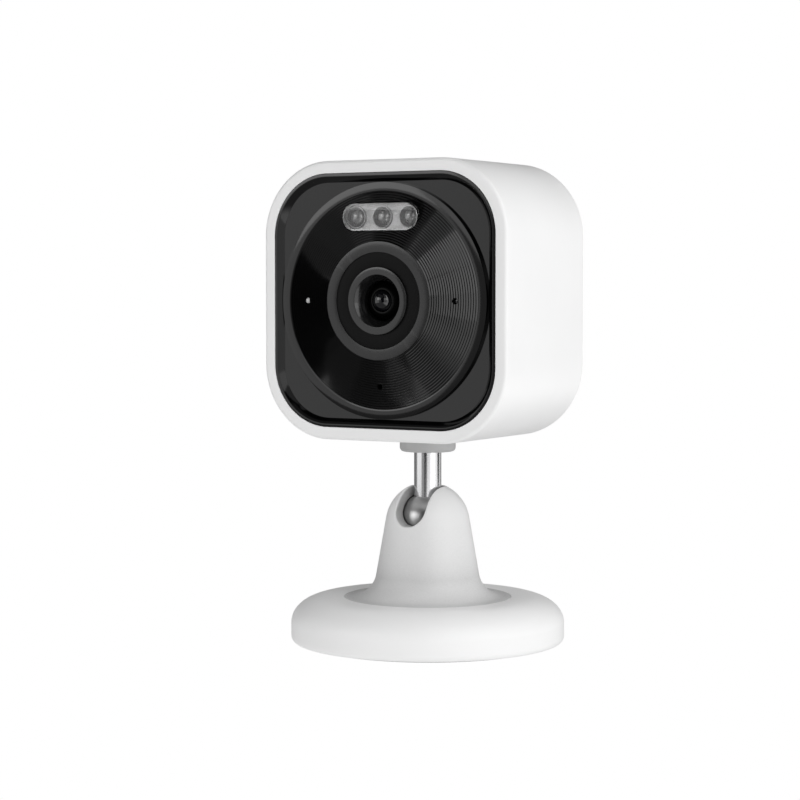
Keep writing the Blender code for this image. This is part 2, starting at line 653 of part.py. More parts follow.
def make_board_fixings(head):
    """Standoffs from the bezel's back to the main board, and a screw behind each."""
    rear = MAIN_BOARD_OUT - BOARD_THICK - GAP
    for i, (x, z) in enumerate(standoff_places(), start=1):
        at = (x, 0, AXIS_Z + z)
        post = tube_mesh(1.2 * MM, 2.1 * MM, MAIN_BOARD_OUT + GAP, BEZEL_BACK_OUT, 6)
        piece(f"standoff_{i}", post, "brass", head, at=at, facing_front=True)
        screw = screw_mesh(1.8 * MM, 0.85 * MM, 0.9 * MM, 5.4 * MM)
        piece(f"board_screw_{i}", screw, "steel", head, at=(x, -(rear - 0.9 * MM), AXIS_Z + z),
              facing_front=True)
    for i, side in enumerate((-1, 1), start=1):
        post = disc_mesh(1.5 * MM, SENSOR_BOARD_OUT + GAP, BEZEL_BACK_OUT, 6)
        piece(f"sensor_post_{i}", post, "brass", head,
              at=(side * 9.3 * MM, 0, AXIS_Z - 9.3 * MM), facing_front=True)


def make_socket_and_button(head, button):
    """Power socket, and the reset button that presses a small switch."""
    rear = MAIN_BOARD_OUT - BOARD_THICK - GAP
    mouth = -9.8 * MM
    outer = prism_mesh(pill(4.45 * MM, 1.6 * MM, 6), mouth, rear)
    socket = piece("power_socket", outer, "steel", head, at=(0, 0, SOCKET_Z), facing_front=True)
    cut(socket, prism_mesh(pill(4.1 * MM, 1.25 * MM, 6), mouth - 2 * MM, mouth + 4.4 * MM),
        at=(0, 0, SOCKET_Z), facing_front=True)
    place = (BUTTON_X, 0, SOCKET_Z)
    switch = block_mesh((4.2 * MM, 4.2 * MM, 2.0 * MM), (0, 0, rear - 1.0 * MM), 0.3 * MM)
    piece("reset_switch", switch, "chip_black", head, at=place, facing_front=True)
    cap = [(0, -14.1 * MM), (1.3 * MM, -14.1 * MM), (1.6 * MM, -13.9 * MM), (1.6 * MM, -12.0 * MM),
           (2.7 * MM, -12.0 * MM), (2.7 * MM, -11.2 * MM), (1.2 * MM, -11.2 * MM),
           (1.2 * MM, -7.4 * MM), (0, -7.4 * MM)]
    piece("reset_button", turned_mesh(cap, SMALL_STEPS, closed=False), "grey_plastic", button,
          at=place, facing_front=True)


# ---------------------------------------------------------------- head: lamp and pin holes


def make_lamp(head):
    """Clear window, a reflector tray with three cups, three lamps and their board."""
    at = (0, 0, LAMP_Z)
    half = LAMP_HALF - GAP
    radius = LAMP_RADIUS - GAP
    window_low = 17.3 * MM
    window_top = 17.98 * MM
    edge = 0.26 * MM
    window = lofted_mesh([(pill(half, radius), window_low), (pill(half, radius), window_top - edge),
                          (pill(half - edge, radius - edge), window_top)], closed=False)
    piece("light_window", window, "clear", head, at=at, facing_front=True)
    tray_low = 12.6 * MM
    tray_top = window_low - GAP
    tray = piece("lamp_reflector", prism_mesh(pill(half, radius), tray_low, tray_top),
                 "grey_plastic", head, at=at, facing_front=True)
    board = block_mesh((18.5 * MM, 6.6 * MM, 1.0 * MM), (0, 0, 11.7 * MM))
    piece("lamp_board", board, "board_green", head, at=at, facing_front=True)
    lamp_radius = 1.5 * MM
    lamp_shoulder = 16.0 * MM
    cup_mouth = 1.92 * MM
    below = tray_low - 0.5 * MM
    above = tray_top + 0.5 * MM
    cup_foot = lamp_radius + GAP
    for i in (-1, 0, 1):
        place = (i * LED_PITCH, 0, LAMP_Z)
        cup = [(0, below), (cup_foot, below), (cup_foot, lamp_shoulder), (cup_mouth, 16.6 * MM),
               (cup_mouth, above), (0, above)]
        cut(tray, turned_mesh(cup, SMALL_STEPS, closed=False), at=place, facing_front=True)
        lamp = [(0, 12.5 * MM), (lamp_radius, 12.5 * MM), (lamp_radius, lamp_shoulder),
                (0.7 * lamp_radius, lamp_shoulder + 0.57 * MM), (0, lamp_shoulder + 0.8 * MM)]
        piece(f"led_{i + 2}", turned_mesh(lamp, SMALL_STEPS, closed=False), "clear", head,
              at=place, facing_front=True)


def make_pin_parts(head):
    """Status light guide, light sensor and microphone behind the three small holes."""
    pin = disc_mesh(0.6 * MM, 13.2 * MM, 17.5 * MM, TINY_STEPS)
    piece("status_light", pin, "clear", head, at=(-PIN_HOLE_CIRCLE, 0, AXIS_Z), facing_front=True)
    eye = disc_mesh(0.6 * MM, 13.2 * MM, 17.2 * MM, TINY_STEPS)
    piece("light_sensor", eye, "lens_glass", head, at=(PIN_HOLE_CIRCLE, 0, AXIS_Z),
          facing_front=True)
    can = disc_mesh(2.0 * MM, 12.9 * MM, 14.5 * MM, SMALL_STEPS)
    piece("microphone", can, "steel", head, at=(0, 0, AXIS_Z - PIN_HOLE_CIRCLE), facing_front=True)


def main():
    clear_scene()
    stand = empty("stand", (0, 0, 0))
    tilting = empty("tilt_joint", (0, 0, BALL_Z), stand)
    head = empty("pan_joint", (0, 0, HEAD_BOTTOM), tilting)
    button = empty("button_joint", (BUTTON_X, -REAR_OUT, SOCKET_Z), head)
    filter_slide = empty("filter_joint", (0, -3.3 * MM, AXIS_Z), head)
    make_base_shell(stand)
    make_base_plate(stand)
    make_base_fittings(stand)
    make_pedestal(stand)
    make_ball_clamp(stand)
    make_ball_stem(tilting)
    make_shell(head)
    make_rear_cover(head)
    make_front_bezel(head)
    make_swivel(head)
    make_lens(head)
    make_lens_holder(head, filter_slide)
    make_boards(head)
    make_board_fixings(head)
    make_socket_and_button(head, button)
    make_lamp(head)
    make_pin_parts(head)
    bpy.context.view_layer.update()


main()
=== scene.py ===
# %% [markdown]
# # A small security camera on a ball-jointed stand
# The mechanism is already made: every solid, joint and size comes from the frame. Here the
# pieces that show get their fine surface and their finish. All sizes are in metres, +Z is
# up and the lens looks along -Y.

# %% Load the frame
import json
from math import acos, asin, atan2, cos, degrees, pi, radians, sin, sqrt, tan

import bmesh
import bpy
from mathutils import Matrix, Vector


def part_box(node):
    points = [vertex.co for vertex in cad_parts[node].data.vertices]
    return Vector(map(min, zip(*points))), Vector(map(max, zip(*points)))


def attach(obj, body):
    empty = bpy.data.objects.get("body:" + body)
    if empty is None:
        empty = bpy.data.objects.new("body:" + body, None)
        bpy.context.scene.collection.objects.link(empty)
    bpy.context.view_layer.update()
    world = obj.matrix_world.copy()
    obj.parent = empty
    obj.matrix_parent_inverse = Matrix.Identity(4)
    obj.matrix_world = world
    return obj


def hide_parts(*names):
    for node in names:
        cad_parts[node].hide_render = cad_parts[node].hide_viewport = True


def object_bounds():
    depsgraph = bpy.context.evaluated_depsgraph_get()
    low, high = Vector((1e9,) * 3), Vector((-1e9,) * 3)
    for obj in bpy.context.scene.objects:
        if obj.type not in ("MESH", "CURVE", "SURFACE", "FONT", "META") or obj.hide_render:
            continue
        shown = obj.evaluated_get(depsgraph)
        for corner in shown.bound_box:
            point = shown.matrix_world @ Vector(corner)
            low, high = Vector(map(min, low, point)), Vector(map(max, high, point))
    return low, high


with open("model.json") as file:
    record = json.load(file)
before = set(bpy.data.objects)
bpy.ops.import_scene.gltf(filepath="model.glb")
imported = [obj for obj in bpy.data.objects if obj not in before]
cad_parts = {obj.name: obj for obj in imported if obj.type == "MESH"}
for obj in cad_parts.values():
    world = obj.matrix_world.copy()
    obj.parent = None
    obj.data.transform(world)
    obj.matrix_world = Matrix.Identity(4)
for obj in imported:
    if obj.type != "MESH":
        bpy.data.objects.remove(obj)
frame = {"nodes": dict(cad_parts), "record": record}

MM = 0.001
cad_low, cad_high = [[float(v) for v in corner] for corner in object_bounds()]
print("frame:", len(frame["nodes"]), "nodes, box", cad_low, cad_high)

# %% [markdown]
# ## The camera
# It stands a forearm's length away, a little to the right of the lens and just above the
# middle of the object, with a long lens. A long lens keeps the round base round; a short
# one would stretch it towards the corners.

# %% Camera
CAMERA_AT = (0.20918, -0.36463, 0.06884)
CAMERA_TURN = 30.565
CAMERA_DROP = 3.048
SENSOR_WIDE = 36.0
LONG_LENS = 99.154

camera_data = bpy.data.cameras.new("studio_camera")
camera_data.sensor_width = SENSOR_WIDE
camera_data.lens = LONG_LENS
camera_data.clip_start = 0.01
camera = bpy.data.objects.new("studio_camera", camera_data)
camera.location = CAMERA_AT
camera.rotation_euler = (radians(90 - CAMERA_DROP), 0, radians(CAMERA_TURN))
bpy.context.scene.collection.objects.link(camera)
bpy.context.scene.camera = camera
print("camera at", CAMERA_AT)

# %% [markdown]
# ## The studio
# Chrome and gloss black show the room more than themselves, so the lights are laid out by
# what they should draw on the metal: a wide bright panel on the right, a softer one on the
# left, and a dark gap straight ahead. Panels are given by direction, seen from the object,
# and by brightness, which is what a reflection shows.

# %% Lights, backdrop and floor
STUDIO_REACH = 0.7
STUDIO_MIDDLE = Vector((0, 0, 0.05))
EYE = (-6, 28)   # a row of panels: its elevation and its height, in degrees
MID = (18, 20)
HIGH = (42, 28)
ROOF = (66, 20)


def panel(name, azimuth, row, wide, brightness):
    """A soft panel in a direction: azimuth 0 is straight ahead of the lens, + is to its right."""
    elevation, high = row
    turn, rise = radians(azimuth), radians(elevation)
    away = Vector((sin(turn) * cos(rise), -cos(turn) * cos(rise), sin(rise)))
    data = bpy.data.lights.new(name, "AREA")
    data.shape = "RECTANGLE"
    data.size = 2 * STUDIO_REACH * tan(radians(wide / 2)) * cos(rise)
    data.size_y = 2 * STUDIO_REACH * tan(radians(high / 2))
    data.energy = brightness * pi * data.size * data.size_y
    lamp = bpy.data.objects.new(name, data)
    lamp.location = away * STUDIO_REACH + STUDIO_MIDDLE
    lamp.rotation_euler = away.to_track_quat("Z", "Y").to_euler()
    bpy.context.scene.collection.objects.link(lamp)


panel("eye_rear_left", -144, EYE, 96, 0.14)
panel("eye_left", -84, EYE, 24, 0.25)
panel("eye_front_left", -48, EYE, 48, 1.03)
panel("eye_left_feather", -12, EYE, 24, 0.30)
panel("eye_right_feather", 36, EYE, 24, 0.72)
panel("eye_right_near", 54, EYE, 12, 1.10)
panel("eye_key", 66, EYE, 12, 2.10)
panel("eye_right", 84, EYE, 24, 1.55)
panel("eye_right_far", 108, EYE, 24, 0.92)
panel("eye_rear_right", 156, EYE, 24, 0.66)
panel("mid_left", -72, MID, 48, 0.95)
panel("mid_front_left", -36, MID, 24, 2.75)
panel("mid_front", -16, MID, 16, 1.50)
panel("mid_right_near", 36, MID, 24, 1.25)
panel("mid_right", 72, MID, 48, 2.35)
panel("mid_right_far", 108, MID, 24, 1.08)
panel("mid_rear_right", 144, MID, 48, 0.46)
panel("high_rear", 180, HIGH, 72, 0.55)
panel("high_rear_left", -132, HIGH, 24, 0.6)
panel("high_rear_right", 132, HIGH, 24, 0.6)
panel("high_left", -96, HIGH, 48, 0.3)
panel("high_front", -24, HIGH, 72, 0.11)
panel("high_feather", 36, HIGH, 24, 0.33)
panel("high_key", 60, HIGH, 24, 2.35)
panel("high_right", 84, HIGH, 24, 1.95)
panel("high_right_far", 108, HIGH, 24, 0.72)
panel("roof_right", 66, ROOF, 60, 0.8)
panel("roof_front", 18, ROOF, 36, 0.3)

world = bpy.data.worlds.new("studio")
bpy.context.scene.world = world
world.use_nodes = True
room = world.node_tree
room.nodes.clear()
seen = room.nodes.new("ShaderNodeBackground")
seen.inputs["Color"].default_value = (1, 1, 1, 1)
lit = room.nodes.new("ShaderNodeBackground")
lit.inputs["Color"].default_value = (0.001, 0.001, 0.001, 1)
ray = room.nodes.new("ShaderNodeLightPath")
choose = room.nodes.new("ShaderNodeMixShader")
sky = room.nodes.new("ShaderNodeOutputWorld")
room.links.new(ray.outputs["Is Camera Ray"], choose.inputs["Fac"])
room.links.new(lit.outputs[0], choose.inputs[1])
room.links.new(seen.outputs[0], choose.inputs[2])
room.links.new(choose.outputs[0], sky.inputs["Surface"])
bpy.context.scene.view_settings.view_transform = "Standard"

FLOOR_RADIUS = 0.25
PAPER_TONE = 0.12
PAPER_GLOW = 0.765      # the paper's glow on dull surfaces
PAPER_DIM, PAPER_BRIGHT = 0.15, 1.3    # its glow as gloss sees it, left and right
PAPER_TURN = (35 * MM, 75 * MM)        # where the dim side becomes the bright one

floor_mesh = bmesh.new()
bmesh.ops.create_circle(floor_mesh, cap_ends=True, radius=FLOOR_RADIUS, segments=96)
floor_data = bpy.data.meshes.new("floor")
floor_mesh.to_mesh(floor_data)
floor_mesh.free()
floor = bpy.data.objects.new("floor", floor_data)
floor.location = (0, 0, cad_low[2] - 0.02 * MM)
bpy.context.scene.collection.objects.link(floor)
paper = bpy.data.materials.new("pale_paper")
paper.use_nodes = True
paper_tree = paper.node_tree
paper_shader = paper_tree.nodes["Principled BSDF"]
paper_shader.inputs["Base Color"].default_value = (PAPER_TONE, PAPER_TONE, PAPER_TONE, 1)
paper_shader.inputs["Roughness"].default_value = 0.9
paper_shader.inputs["Emission Color"].default_value = (1, 1, 1, 1)
paper_white = paper_tree.nodes.new("ShaderNodeEmission")
paper_ray = paper_tree.nodes.new("ShaderNodeLightPath")
paper_place = paper_tree.nodes.new("ShaderNodeTexCoord")
paper_axes = paper_tree.nodes.new("ShaderNodeSeparateXYZ")
paper_tree.links.new(paper_place.outputs["Object"], paper_axes.inputs["Vector"])
paper_side = paper_tree.nodes.new("ShaderNodeMapRange")
paper_side.inputs["From Min"].default_value = PAPER_TURN[0]
paper_side.inputs["From Max"].default_value = PAPER_TURN[1]
paper_side.inputs["To Min"].default_value = PAPER_DIM
paper_side.inputs["To Max"].default_value = PAPER_BRIGHT
paper_tree.links.new(paper_axes.outputs["X"], paper_side.inputs["Value"])
paper_glow = paper_tree.nodes.new("ShaderNodeMapRange")
paper_glow.inputs["To Min"].default_value = PAPER_GLOW
paper_tree.links.new(paper_side.outputs["Result"], paper_glow.inputs["To Max"])
paper_tree.links.new(paper_ray.outputs["Is Glossy Ray"], paper_glow.inputs["Value"])
paper_tree.links.new(paper_glow.outputs["Result"], paper_shader.inputs["Emission Strength"])
paper_mix = paper_tree.nodes.new("ShaderNodeMixShader")
paper_tree.links.new(paper_ray.outputs["Is Camera Ray"], paper_mix.inputs["Fac"])
paper_tree.links.new(paper_shader.outputs[0], paper_mix.inputs[1])
paper_tree.links.new(paper_white.outputs[0], paper_mix.inputs[2])
paper_out = paper_tree.nodes["Material Output"]
paper_tree.links.new(paper_mix.outputs[0], paper_out.inputs["Surface"])
floor_data.materials.append(paper)
print("studio:", len(bpy.data.lights), "panels and a pale floor")

# %% [markdown]
# ## Finishes
# Nothing moulded is one flat colour. Each finish here has a faint drift of tone, a fine
# grain that bends the highlight, and a roughness that wanders a little, all at the size
# they have on the real material. A finish is made once and shared by the pieces that are
# moulded or cut from the same stock. `edge` lightens sharp edges. The crease option paints
# shade into the colour of hollows that see little sky, which here deepens the shade at the
# foot of the pedestal. Both come from the shape alone, so they stay put when the view turns.

# %% A finish from its few facts
# Painted shade in creases: how far it looks for a hollow, and how much sky counts as open or shut.
CREASE_REACH = 16 * MM
CREASE_OPEN, CREASE_SHUT = 0.98, 0.70   # how much sky a place sees, open or deep in a hollow
EDGE_START, EDGE_FULL = 0.53, 0.62      # how pointed an edge is before it lightens


def finish(name, colour, roughness, grain_mm, depth, metallic=0.0, drift=0.03, wander=0.05,
           stretch=(1, 1, 1), specular=0.5, edge=0.0, crease_shade=0.0, cloud_mm=14.0):
    """A node material whose grain, tone and roughness vary at real size."""
    made = bpy.data.materials.new(name)
    made.use_nodes = True
    tree = made.node_tree
    shader = tree.nodes["Principled BSDF"]
    shader.inputs["Metallic"].default_value = metallic
    shader.inputs["Specular IOR Level"].default_value = specular
    place = tree.nodes.new("ShaderNodeTexCoord")
    scale = tree.nodes.new("ShaderNodeMapping")
    scale.inputs["Scale"].default_value = stretch
    tree.links.new(place.outputs["Object"], scale.inputs["Vector"])

    def noise(size_mm, detail):
        node = tree.nodes.new("ShaderNodeTexNoise")
        node.inputs["Scale"].default_value = 1 / (size_mm * MM)
        node.inputs["Detail"].default_value = detail
        tree.links.new(scale.outputs["Vector"], node.inputs["Vector"])
        return node

    grain = noise(grain_mm, 3.0)
    clouds = noise(cloud_mm, 2.0)
    bump = tree.nodes.new("ShaderNodeBump")
    bump.inputs["Strength"].default_value = 1.0
    bump.inputs["Distance"].default_value = depth * MM
    tree.links.new(grain.outputs["Fac"], bump.inputs["Height"])
    tree.links.new(bump.outputs["Normal"], shader.inputs["Normal"])

    tone = tree.nodes.new("ShaderNodeValToRGB")
    tone.color_ramp.elements[0].position = 0.3
    tone.color_ramp.elements[1].position = 0.7
    tone.color_ramp.elements[0].color = (*[c * (1 - drift) for c in colour], 1)
    tone.color_ramp.elements[1].color = (*[min(1, c * (1 + drift)) for c in colour], 1)
    tree.links.new(clouds.outputs["Fac"], tone.inputs["Fac"])
    surface = tone.outputs["Color"]
    # Sharp edges get a lighter colour, set by how pointed the surface is there.
    if edge:
        edge_lightened = tree.nodes.new("ShaderNodeMixRGB")
        edge_lightened.inputs["Color2"].default_value = (*[min(1, c + edge) for c in colour], 1)
        sharp = tree.nodes.new("ShaderNodeNewGeometry")
        limit = tree.nodes.new("ShaderNodeMapRange")
        limit.inputs["From Min"].default_value = EDGE_START
        limit.inputs["From Max"].default_value = EDGE_FULL
        tree.links.new(sharp.outputs["Pointiness"], limit.inputs["Value"])
        tree.links.new(limit.outputs["Result"], edge_lightened.inputs["Fac"])
        tree.links.new(surface, edge_lightened.inputs["Color1"])
        surface = edge_lightened.outputs["Color"]
    # Painted shade: the colour darkens where the surface's own occlusion finds a hollow.
    if crease_shade:
        crease_occlusion = tree.nodes.new("ShaderNodeAmbientOcclusion")
        crease_occlusion.only_local = True
        crease_occlusion.samples = 6
        crease_occlusion.inputs["Distance"].default_value = CREASE_REACH
        crease_shade_amount = tree.nodes.new("ShaderNodeMapRange")
        crease_shade_amount.inputs["From Min"].default_value = CREASE_SHUT
        crease_shade_amount.inputs["From Max"].default_value = CREASE_OPEN
        crease_shade_amount.inputs["To Min"].default_value = 1 - crease_shade
        shaded = tree.nodes.new("ShaderNodeVectorMath")
        shaded.operation = "SCALE"
        tree.links.new(crease_occlusion.outputs["AO"], crease_shade_amount.inputs["Value"])
        tree.links.new(crease_shade_amount.outputs["Result"], shaded.inputs["Scale"])
        tree.links.new(surface, shaded.inputs[0])
        surface = shaded.outputs["Vector"]
    tree.links.new(surface, shader.inputs["Base Color"])

    rough = tree.nodes.new("ShaderNodeMapRange")
    rough.inputs["To Min"].default_value = max(0.02, roughness - wander)
    rough.inputs["To Max"].default_value = roughness + wander
    tree.links.new(clouds.outputs["Fac"], rough.inputs["Value"])
    tree.links.new(rough.outputs["Result"], shader.inputs["Roughness"])
    return made


head_white = finish("head_white_satin", (0.93, 0.93, 0.93), 0.42, 0.30, 0.003, drift=0.008)
# The pedestal's white carries painted shade, darker in the crease at its foot.
stand_white = finish("stand_white_satin", (0.80, 0.80, 0.80), 0.42, 0.30, 0.003, drift=0.008,
                     crease_shade=0.5)
base_white = finish("base_white_satin", (0.955, 0.955, 0.955), 0.42, 0.30, 0.003, drift=0.008)
black = finish("black_gloss", (0.0012, 0.0012, 0.0013), 0.1, 0.5, 0.0004, wander=0.02)
lens_grey = finish("lens_ring_satin", (0.007, 0.007, 0.0072), 0.2, 0.12, 0.001, edge=0.01)
mouth_grey = finish("lens_mouth_satin", (0.006, 0.006, 0.0062), 0.12, 0.12, 0.0006, wander=0.02,
                    specular=0.6)
lens_well_black = finish("lens_well_black", (0.0008, 0.0008, 0.0008), 0.4, 0.1, 0.001,
                         specular=0.15)
black_matt = finish("lens_matt_black", (0.0045, 0.0045, 0.0045), 0.5, 0.1, 0.002, specular=0.1)
grey = finish("grey_satin", (0.49, 0.49, 0.49), 0.45, 0.25, 0.004, drift=0.02, edge=0.03)
chrome = finish("stem_chrome", (0.80, 0.80, 0.81), 0.17, 0.35, 0.0004, metallic=1.0,
                stretch=(1, 1, 0.04), wander=0.02)
ball_metal = finish("ball_satin_metal", (0.42, 0.42, 0.42), 0.3, 0.2, 0.001, metallic=1.0)
steel = finish("plain_steel", (0.52, 0.52, 0.53), 0.34, 0.15, 0.002, metallic=1.0,
               stretch=(1, 0.15, 1), edge=0.1)
brass = finish("turned_brass", (0.72, 0.53, 0.26), 0.3, 0.15, 0.002, metallic=1.0, edge=0.1)
rubber = finish("foot_rubber", (0.03, 0.03, 0.03), 0.8, 0.2, 0.02, drift=0.1)
board = finish("solder_mask", (0.02, 0.13, 0.06), 0.4, 0.4, 0.01, drift=0.1)
chip = finish("chip_package", (0.02, 0.02, 0.02), 0.5, 0.12, 0.004, drift=0.1, edge=0.02)
print("finishes:", len(bpy.data.materials))

# %% [markdown]
# Glass and clear plastic let light through, so they need a see-through shader. The lamp
# window is clear with a light frost inside; the lens glass is nearly black, because a
# coated lens sends back little but the brightest lights.

# %% Clear finishes


def clear_finish(name, tint, roughness, see_through, grain_mm=0.6, depth=0.001):
    """A see-through node material with a faint moulded waviness."""
    made = finish(name, tint, roughness, grain_mm, depth, drift=0.01, wander=0.02)
    shader = made.node_tree.nodes["Principled BSDF"]
    shader.inputs["Transmission Weight"].default_value = see_through
    shader.inputs["IOR"].default_value = 1.49
    return made


window_clear = clear_finish("lamp_window_clear", (0.97, 0.97, 0.97), 0.02, 1.0)
lamp_clear = clear_finish("lamp_clear", (0.9, 0.9, 0.9), 0.1, 0.6)
pipe_clear = clear_finish("light_pipe_clear", (0.85, 0.85, 0.85), 0.25, 0.3)
lens_black = finish("lens_front_coated", (0.002, 0.002, 0.003), 0.05, 0.8, 0.0002, wander=0.01,
                    specular=0.8)
cup_mirror = finish("lamp_cup_mirror", (0.36, 0.36, 0.36), 0.25, 0.7, 0.05, metallic=0.6,
                    drift=0.3, cloud_mm=2.4)
lamp_frost = finish("lamp_frosted_dome", (0.13, 0.13, 0.13), 0.05, 0.5, 0.012, drift=0.5,
                    wander=0.03, cloud_mm=0.7)
lamp_frost.node_tree.nodes["Principled BSDF"].inputs["IOR"].default_value = 2.4

SLOT_FINISHES = {
    "white_shell": base_white, "black_face": black, "lens_grey": lens_grey,
    "black_matt": black_matt,
    "grey_plastic": grey, "polished_metal": chrome, "steel": steel, "brass": brass,
    "foot_rubber": rubber, "clear_plastic": lamp_clear, "lens_glass": lens_black,
    "circuit_board": board, "chip_black": chip,
}
for part in frame["record"]["subparts"]:
    node = frame["nodes"][part["node"]]
    node.data.materials.clear()
    node.data.materials.append(SLOT_FINISHES[part["material_slot"]])
print("frame nodes given finishes:", len(frame["nodes"]))

# %% [markdown]
# ## Sizes read from the frame
# The head, the ball and the base are measured from the imported solids here, and a few
# pieces below read their own; the other sizes are given in millimetres.

# %% Read the frame


def spans(name):
    """Lowest corner, highest corner and middle of a node."""
    low, high = [Vector(corner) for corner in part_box(name)]
    return low, high, (low + high) / 2


shell_low, shell_high, shell_mid = spans("shell")
HEAD_HALF = (shell_high.x - shell_low.x) / 2
AXIS_Z = shell_mid.z
FACE_OUT = -shell_low.y
REAR_OUT = -shell_high.y
HEAD_CORNER = 14.0 * MM
ball_low, ball_high, _ = spans("ball")
BALL_RADIUS = (ball_high.x - ball_low.x) / 2
BALL_Z = ball_low.z + BALL_RADIUS
base_low, base_high, _ = spans("base_shell")
BASE_RADIUS = (base_high.x - base_low.x) / 2
BASE_TOP = base_high.z
print("head half", HEAD_HALF, "axis", AXIS_Z, "ball", BALL_RADIUS, BALL_Z, "base", BASE_RADIUS)

# %% [markdown]
# ## Three ways to make a surface
# Most of this object is turned or moulded, so three helpers do nearly all of it. `soften`
# rounds the corners of an outline, because no real edge is sharp and the thin bright line
# on an edge is what makes it look made. `turn` spins an outline about an axis. `loft`
# skins a row of rounded squares, and a circle is only a rounded square whose corner
# reaches its middle, so the same helper runs from the square case to the round lens.

# %% Outline helpers


def soften(corners, steps=5):
    """Rounds each (across, along, radius) corner of a closed outline into an arc."""
    path = []
    count = len(corners)
    for i, (x, y, radius) in enumerate(corners):
        here = Vector((x, y))
        if radius <= 0:
            path.append((x, y))
            continue
        back = (Vector(corners[i - 1][:2]) - here).normalized()
        ahead = (Vector(corners[(i + 1) % count][:2]) - here).normalized()
        half_angle = acos(max(-1, min(1, back.dot(ahead)))) / 2
        middle = here + (back + ahead).normalized() * radius / sin(half_angle)
        start = here + back * radius / tan(half_angle) - middle
        end = here + ahead * radius / tan(half_angle) - middle
        first = atan2(start.y, start.x)
        sweep = (atan2(end.y, end.x) - first + pi) % (2 * pi) - pi
        path += [(middle.x + radius * cos(first + sweep * k / steps),
                  middle.y + radius * sin(first + sweep * k / steps)) for k in range(steps + 1)]
    return path


def arc(middle, radius, start_deg, end_deg, steps):
    """Points along a circular arc."""
    turns = [radians(start_deg + (end_deg - start_deg) * i / steps) for i in range(steps + 1)]
    return [(middle[0] + radius * cos(a), middle[1] + radius * sin(a)) for a in turns]


def skin(rings, closed):
    """Joins rings of points into a surface: a closed tube of rings, or one with ends that close."""
    bm = bmesh.new()
    made = [[bm.verts.new(p) for p in ring] for ring in rings]
    pairs = list(zip(made, made[1:])) + ([(made[-1], made[0])] if closed else [])
    for one, two in pairs:
        if len(one) == 1 and len(two) == 1:
            continue
        span = max(len(one), len(two))
        for i in range(span):
            j = (i + 1) % span
            ring = [one[i % len(one)], one[j % len(one)], two[j % len(two)], two[i % len(two)]]
            bm.faces.new(list(dict.fromkeys(ring)))
    if not closed:
        for end in (made[0], made[-1]):
            if len(end) > 1:
                bm.faces.new(end)
    bmesh.ops.recalc_face_normals(bm, faces=bm.faces)
    return bm


def turn(outline, steps=160, closed=True):
    """Spins (radius, height) points about Z. A point on the axis becomes one vertex."""
    rings = []
    for radius, height in outline:
        if radius < 1e-9:
            rings.append([(0, 0, height)])
        else:
            rings.append([(radius * cos(2 * pi * i / steps), radius * sin(2 * pi * i / steps),
                           height) for i in range(steps)])
    return skin(rings, closed)


def square_reach(angle, half, corner):
    """How far a rounded square reaches in a direction. corner = half gives a circle."""
    along, across = abs(cos(angle)), abs(sin(angle))
    inner = half - corner
    if across * half <= inner * along:
        return half / along
    if along * half <= inner * across:
        return half / across
    return inner * (along + across) + sqrt(max(0, corner ** 2 - (inner * (along - across)) ** 2))


def loft(stations, steps=360, closed=True):
    """Skins rounded squares given as (half, corner, out)."""
    rings = []
    for half, corner, out in stations:
        ring = []
        for i in range(steps):
            angle = 2 * pi * i / steps
            reach = square_reach(angle, half, corner)
            ring.append((reach * cos(angle), reach * sin(angle), out))
        rings.append(ring)
    return skin(rings, closed)


print("helpers: soften, arc, skin, turn, loft")

# %% [markdown]
# ## Putting a piece on the object
# A piece is named, given its finish and set riding on the body that it belongs to, and the
# frame solids that it stands for are hidden. Head pieces are drawn lying on their backs,
# with "out" as height, and then tipped up to face forward.

# %% Piece helpers
FACE_FORWARD = Matrix.Translation((0, 0, AXIS_Z)) @ Matrix.Rotation(pi / 2, 4, "X")


def piece(name, bm, material, body, stands_for=(), place=None, sharp_deg=32):
    """Makes a named piece that rides on a body and stands for frame nodes."""
    if place is not None:
        bm.transform(place)
    mesh = bpy.data.meshes.new(name)
    bm.to_mesh(mesh)
    bm.free()
    mesh.shade_smooth()
    mesh.set_sharp_from_angle(angle=radians(sharp_deg))
    mesh.materials.append(material)
    obj = bpy.data.objects.new(name, mesh)
    bpy.context.scene.collection.objects.link(obj)
    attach(obj, body)
    if stands_for:
        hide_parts(*stands_for)
    return obj


def carved(bm, cutters, operation="DIFFERENCE"):
    """The mesh left when cutter meshes are taken out of it, or joined to it."""
    def temporary(mesh_bm, name):
        mesh = bpy.data.meshes.new(name)
        mesh_bm.to_mesh(mesh)
        mesh_bm.free()
        obj = bpy.data.objects.new(name, mesh)
        bpy.context.scene.collection.objects.link(obj)
        return obj

    body = temporary(bm, "blank")
    tools = [temporary(cutter, "cutter") for cutter in cutters]
    for tool in tools:
        cut = body.modifiers.new("cut", "BOOLEAN")
        cut.operation = operation
        cut.solver = "EXACT"
        cut.object = tool
    bpy.context.view_layer.update()
    result = bmesh.new()
    result.from_object(body, bpy.context.evaluated_depsgraph_get())
    for obj in [body] + tools:
        bpy.data.objects.remove(obj, do_unlink=True)
    return result


def pin(radius, low, high, steps=48, at=(0, 0)):
    """A plain pin used as a cutter."""
    bm = turn([(0, low), (radius, low), (radius, high), (0, high)], steps, closed=False)
    bmesh.ops.translate(bm, vec=(at[0], at[1], 0), verts=bm.verts)
    return bm


def pill_ring(half, radius, out, at=(0, 0), steps=24):
    """Points round a bar with round ends."""
    flat = half - radius
    right = [(flat + radius * cos(a), radius * sin(a))
             for a in (pi * i / steps - pi / 2 for i in range(steps + 1))]
    return [(at[0] + x, at[1] + y, out) for x, y in right + [(-x, -y) for x, y in right]]


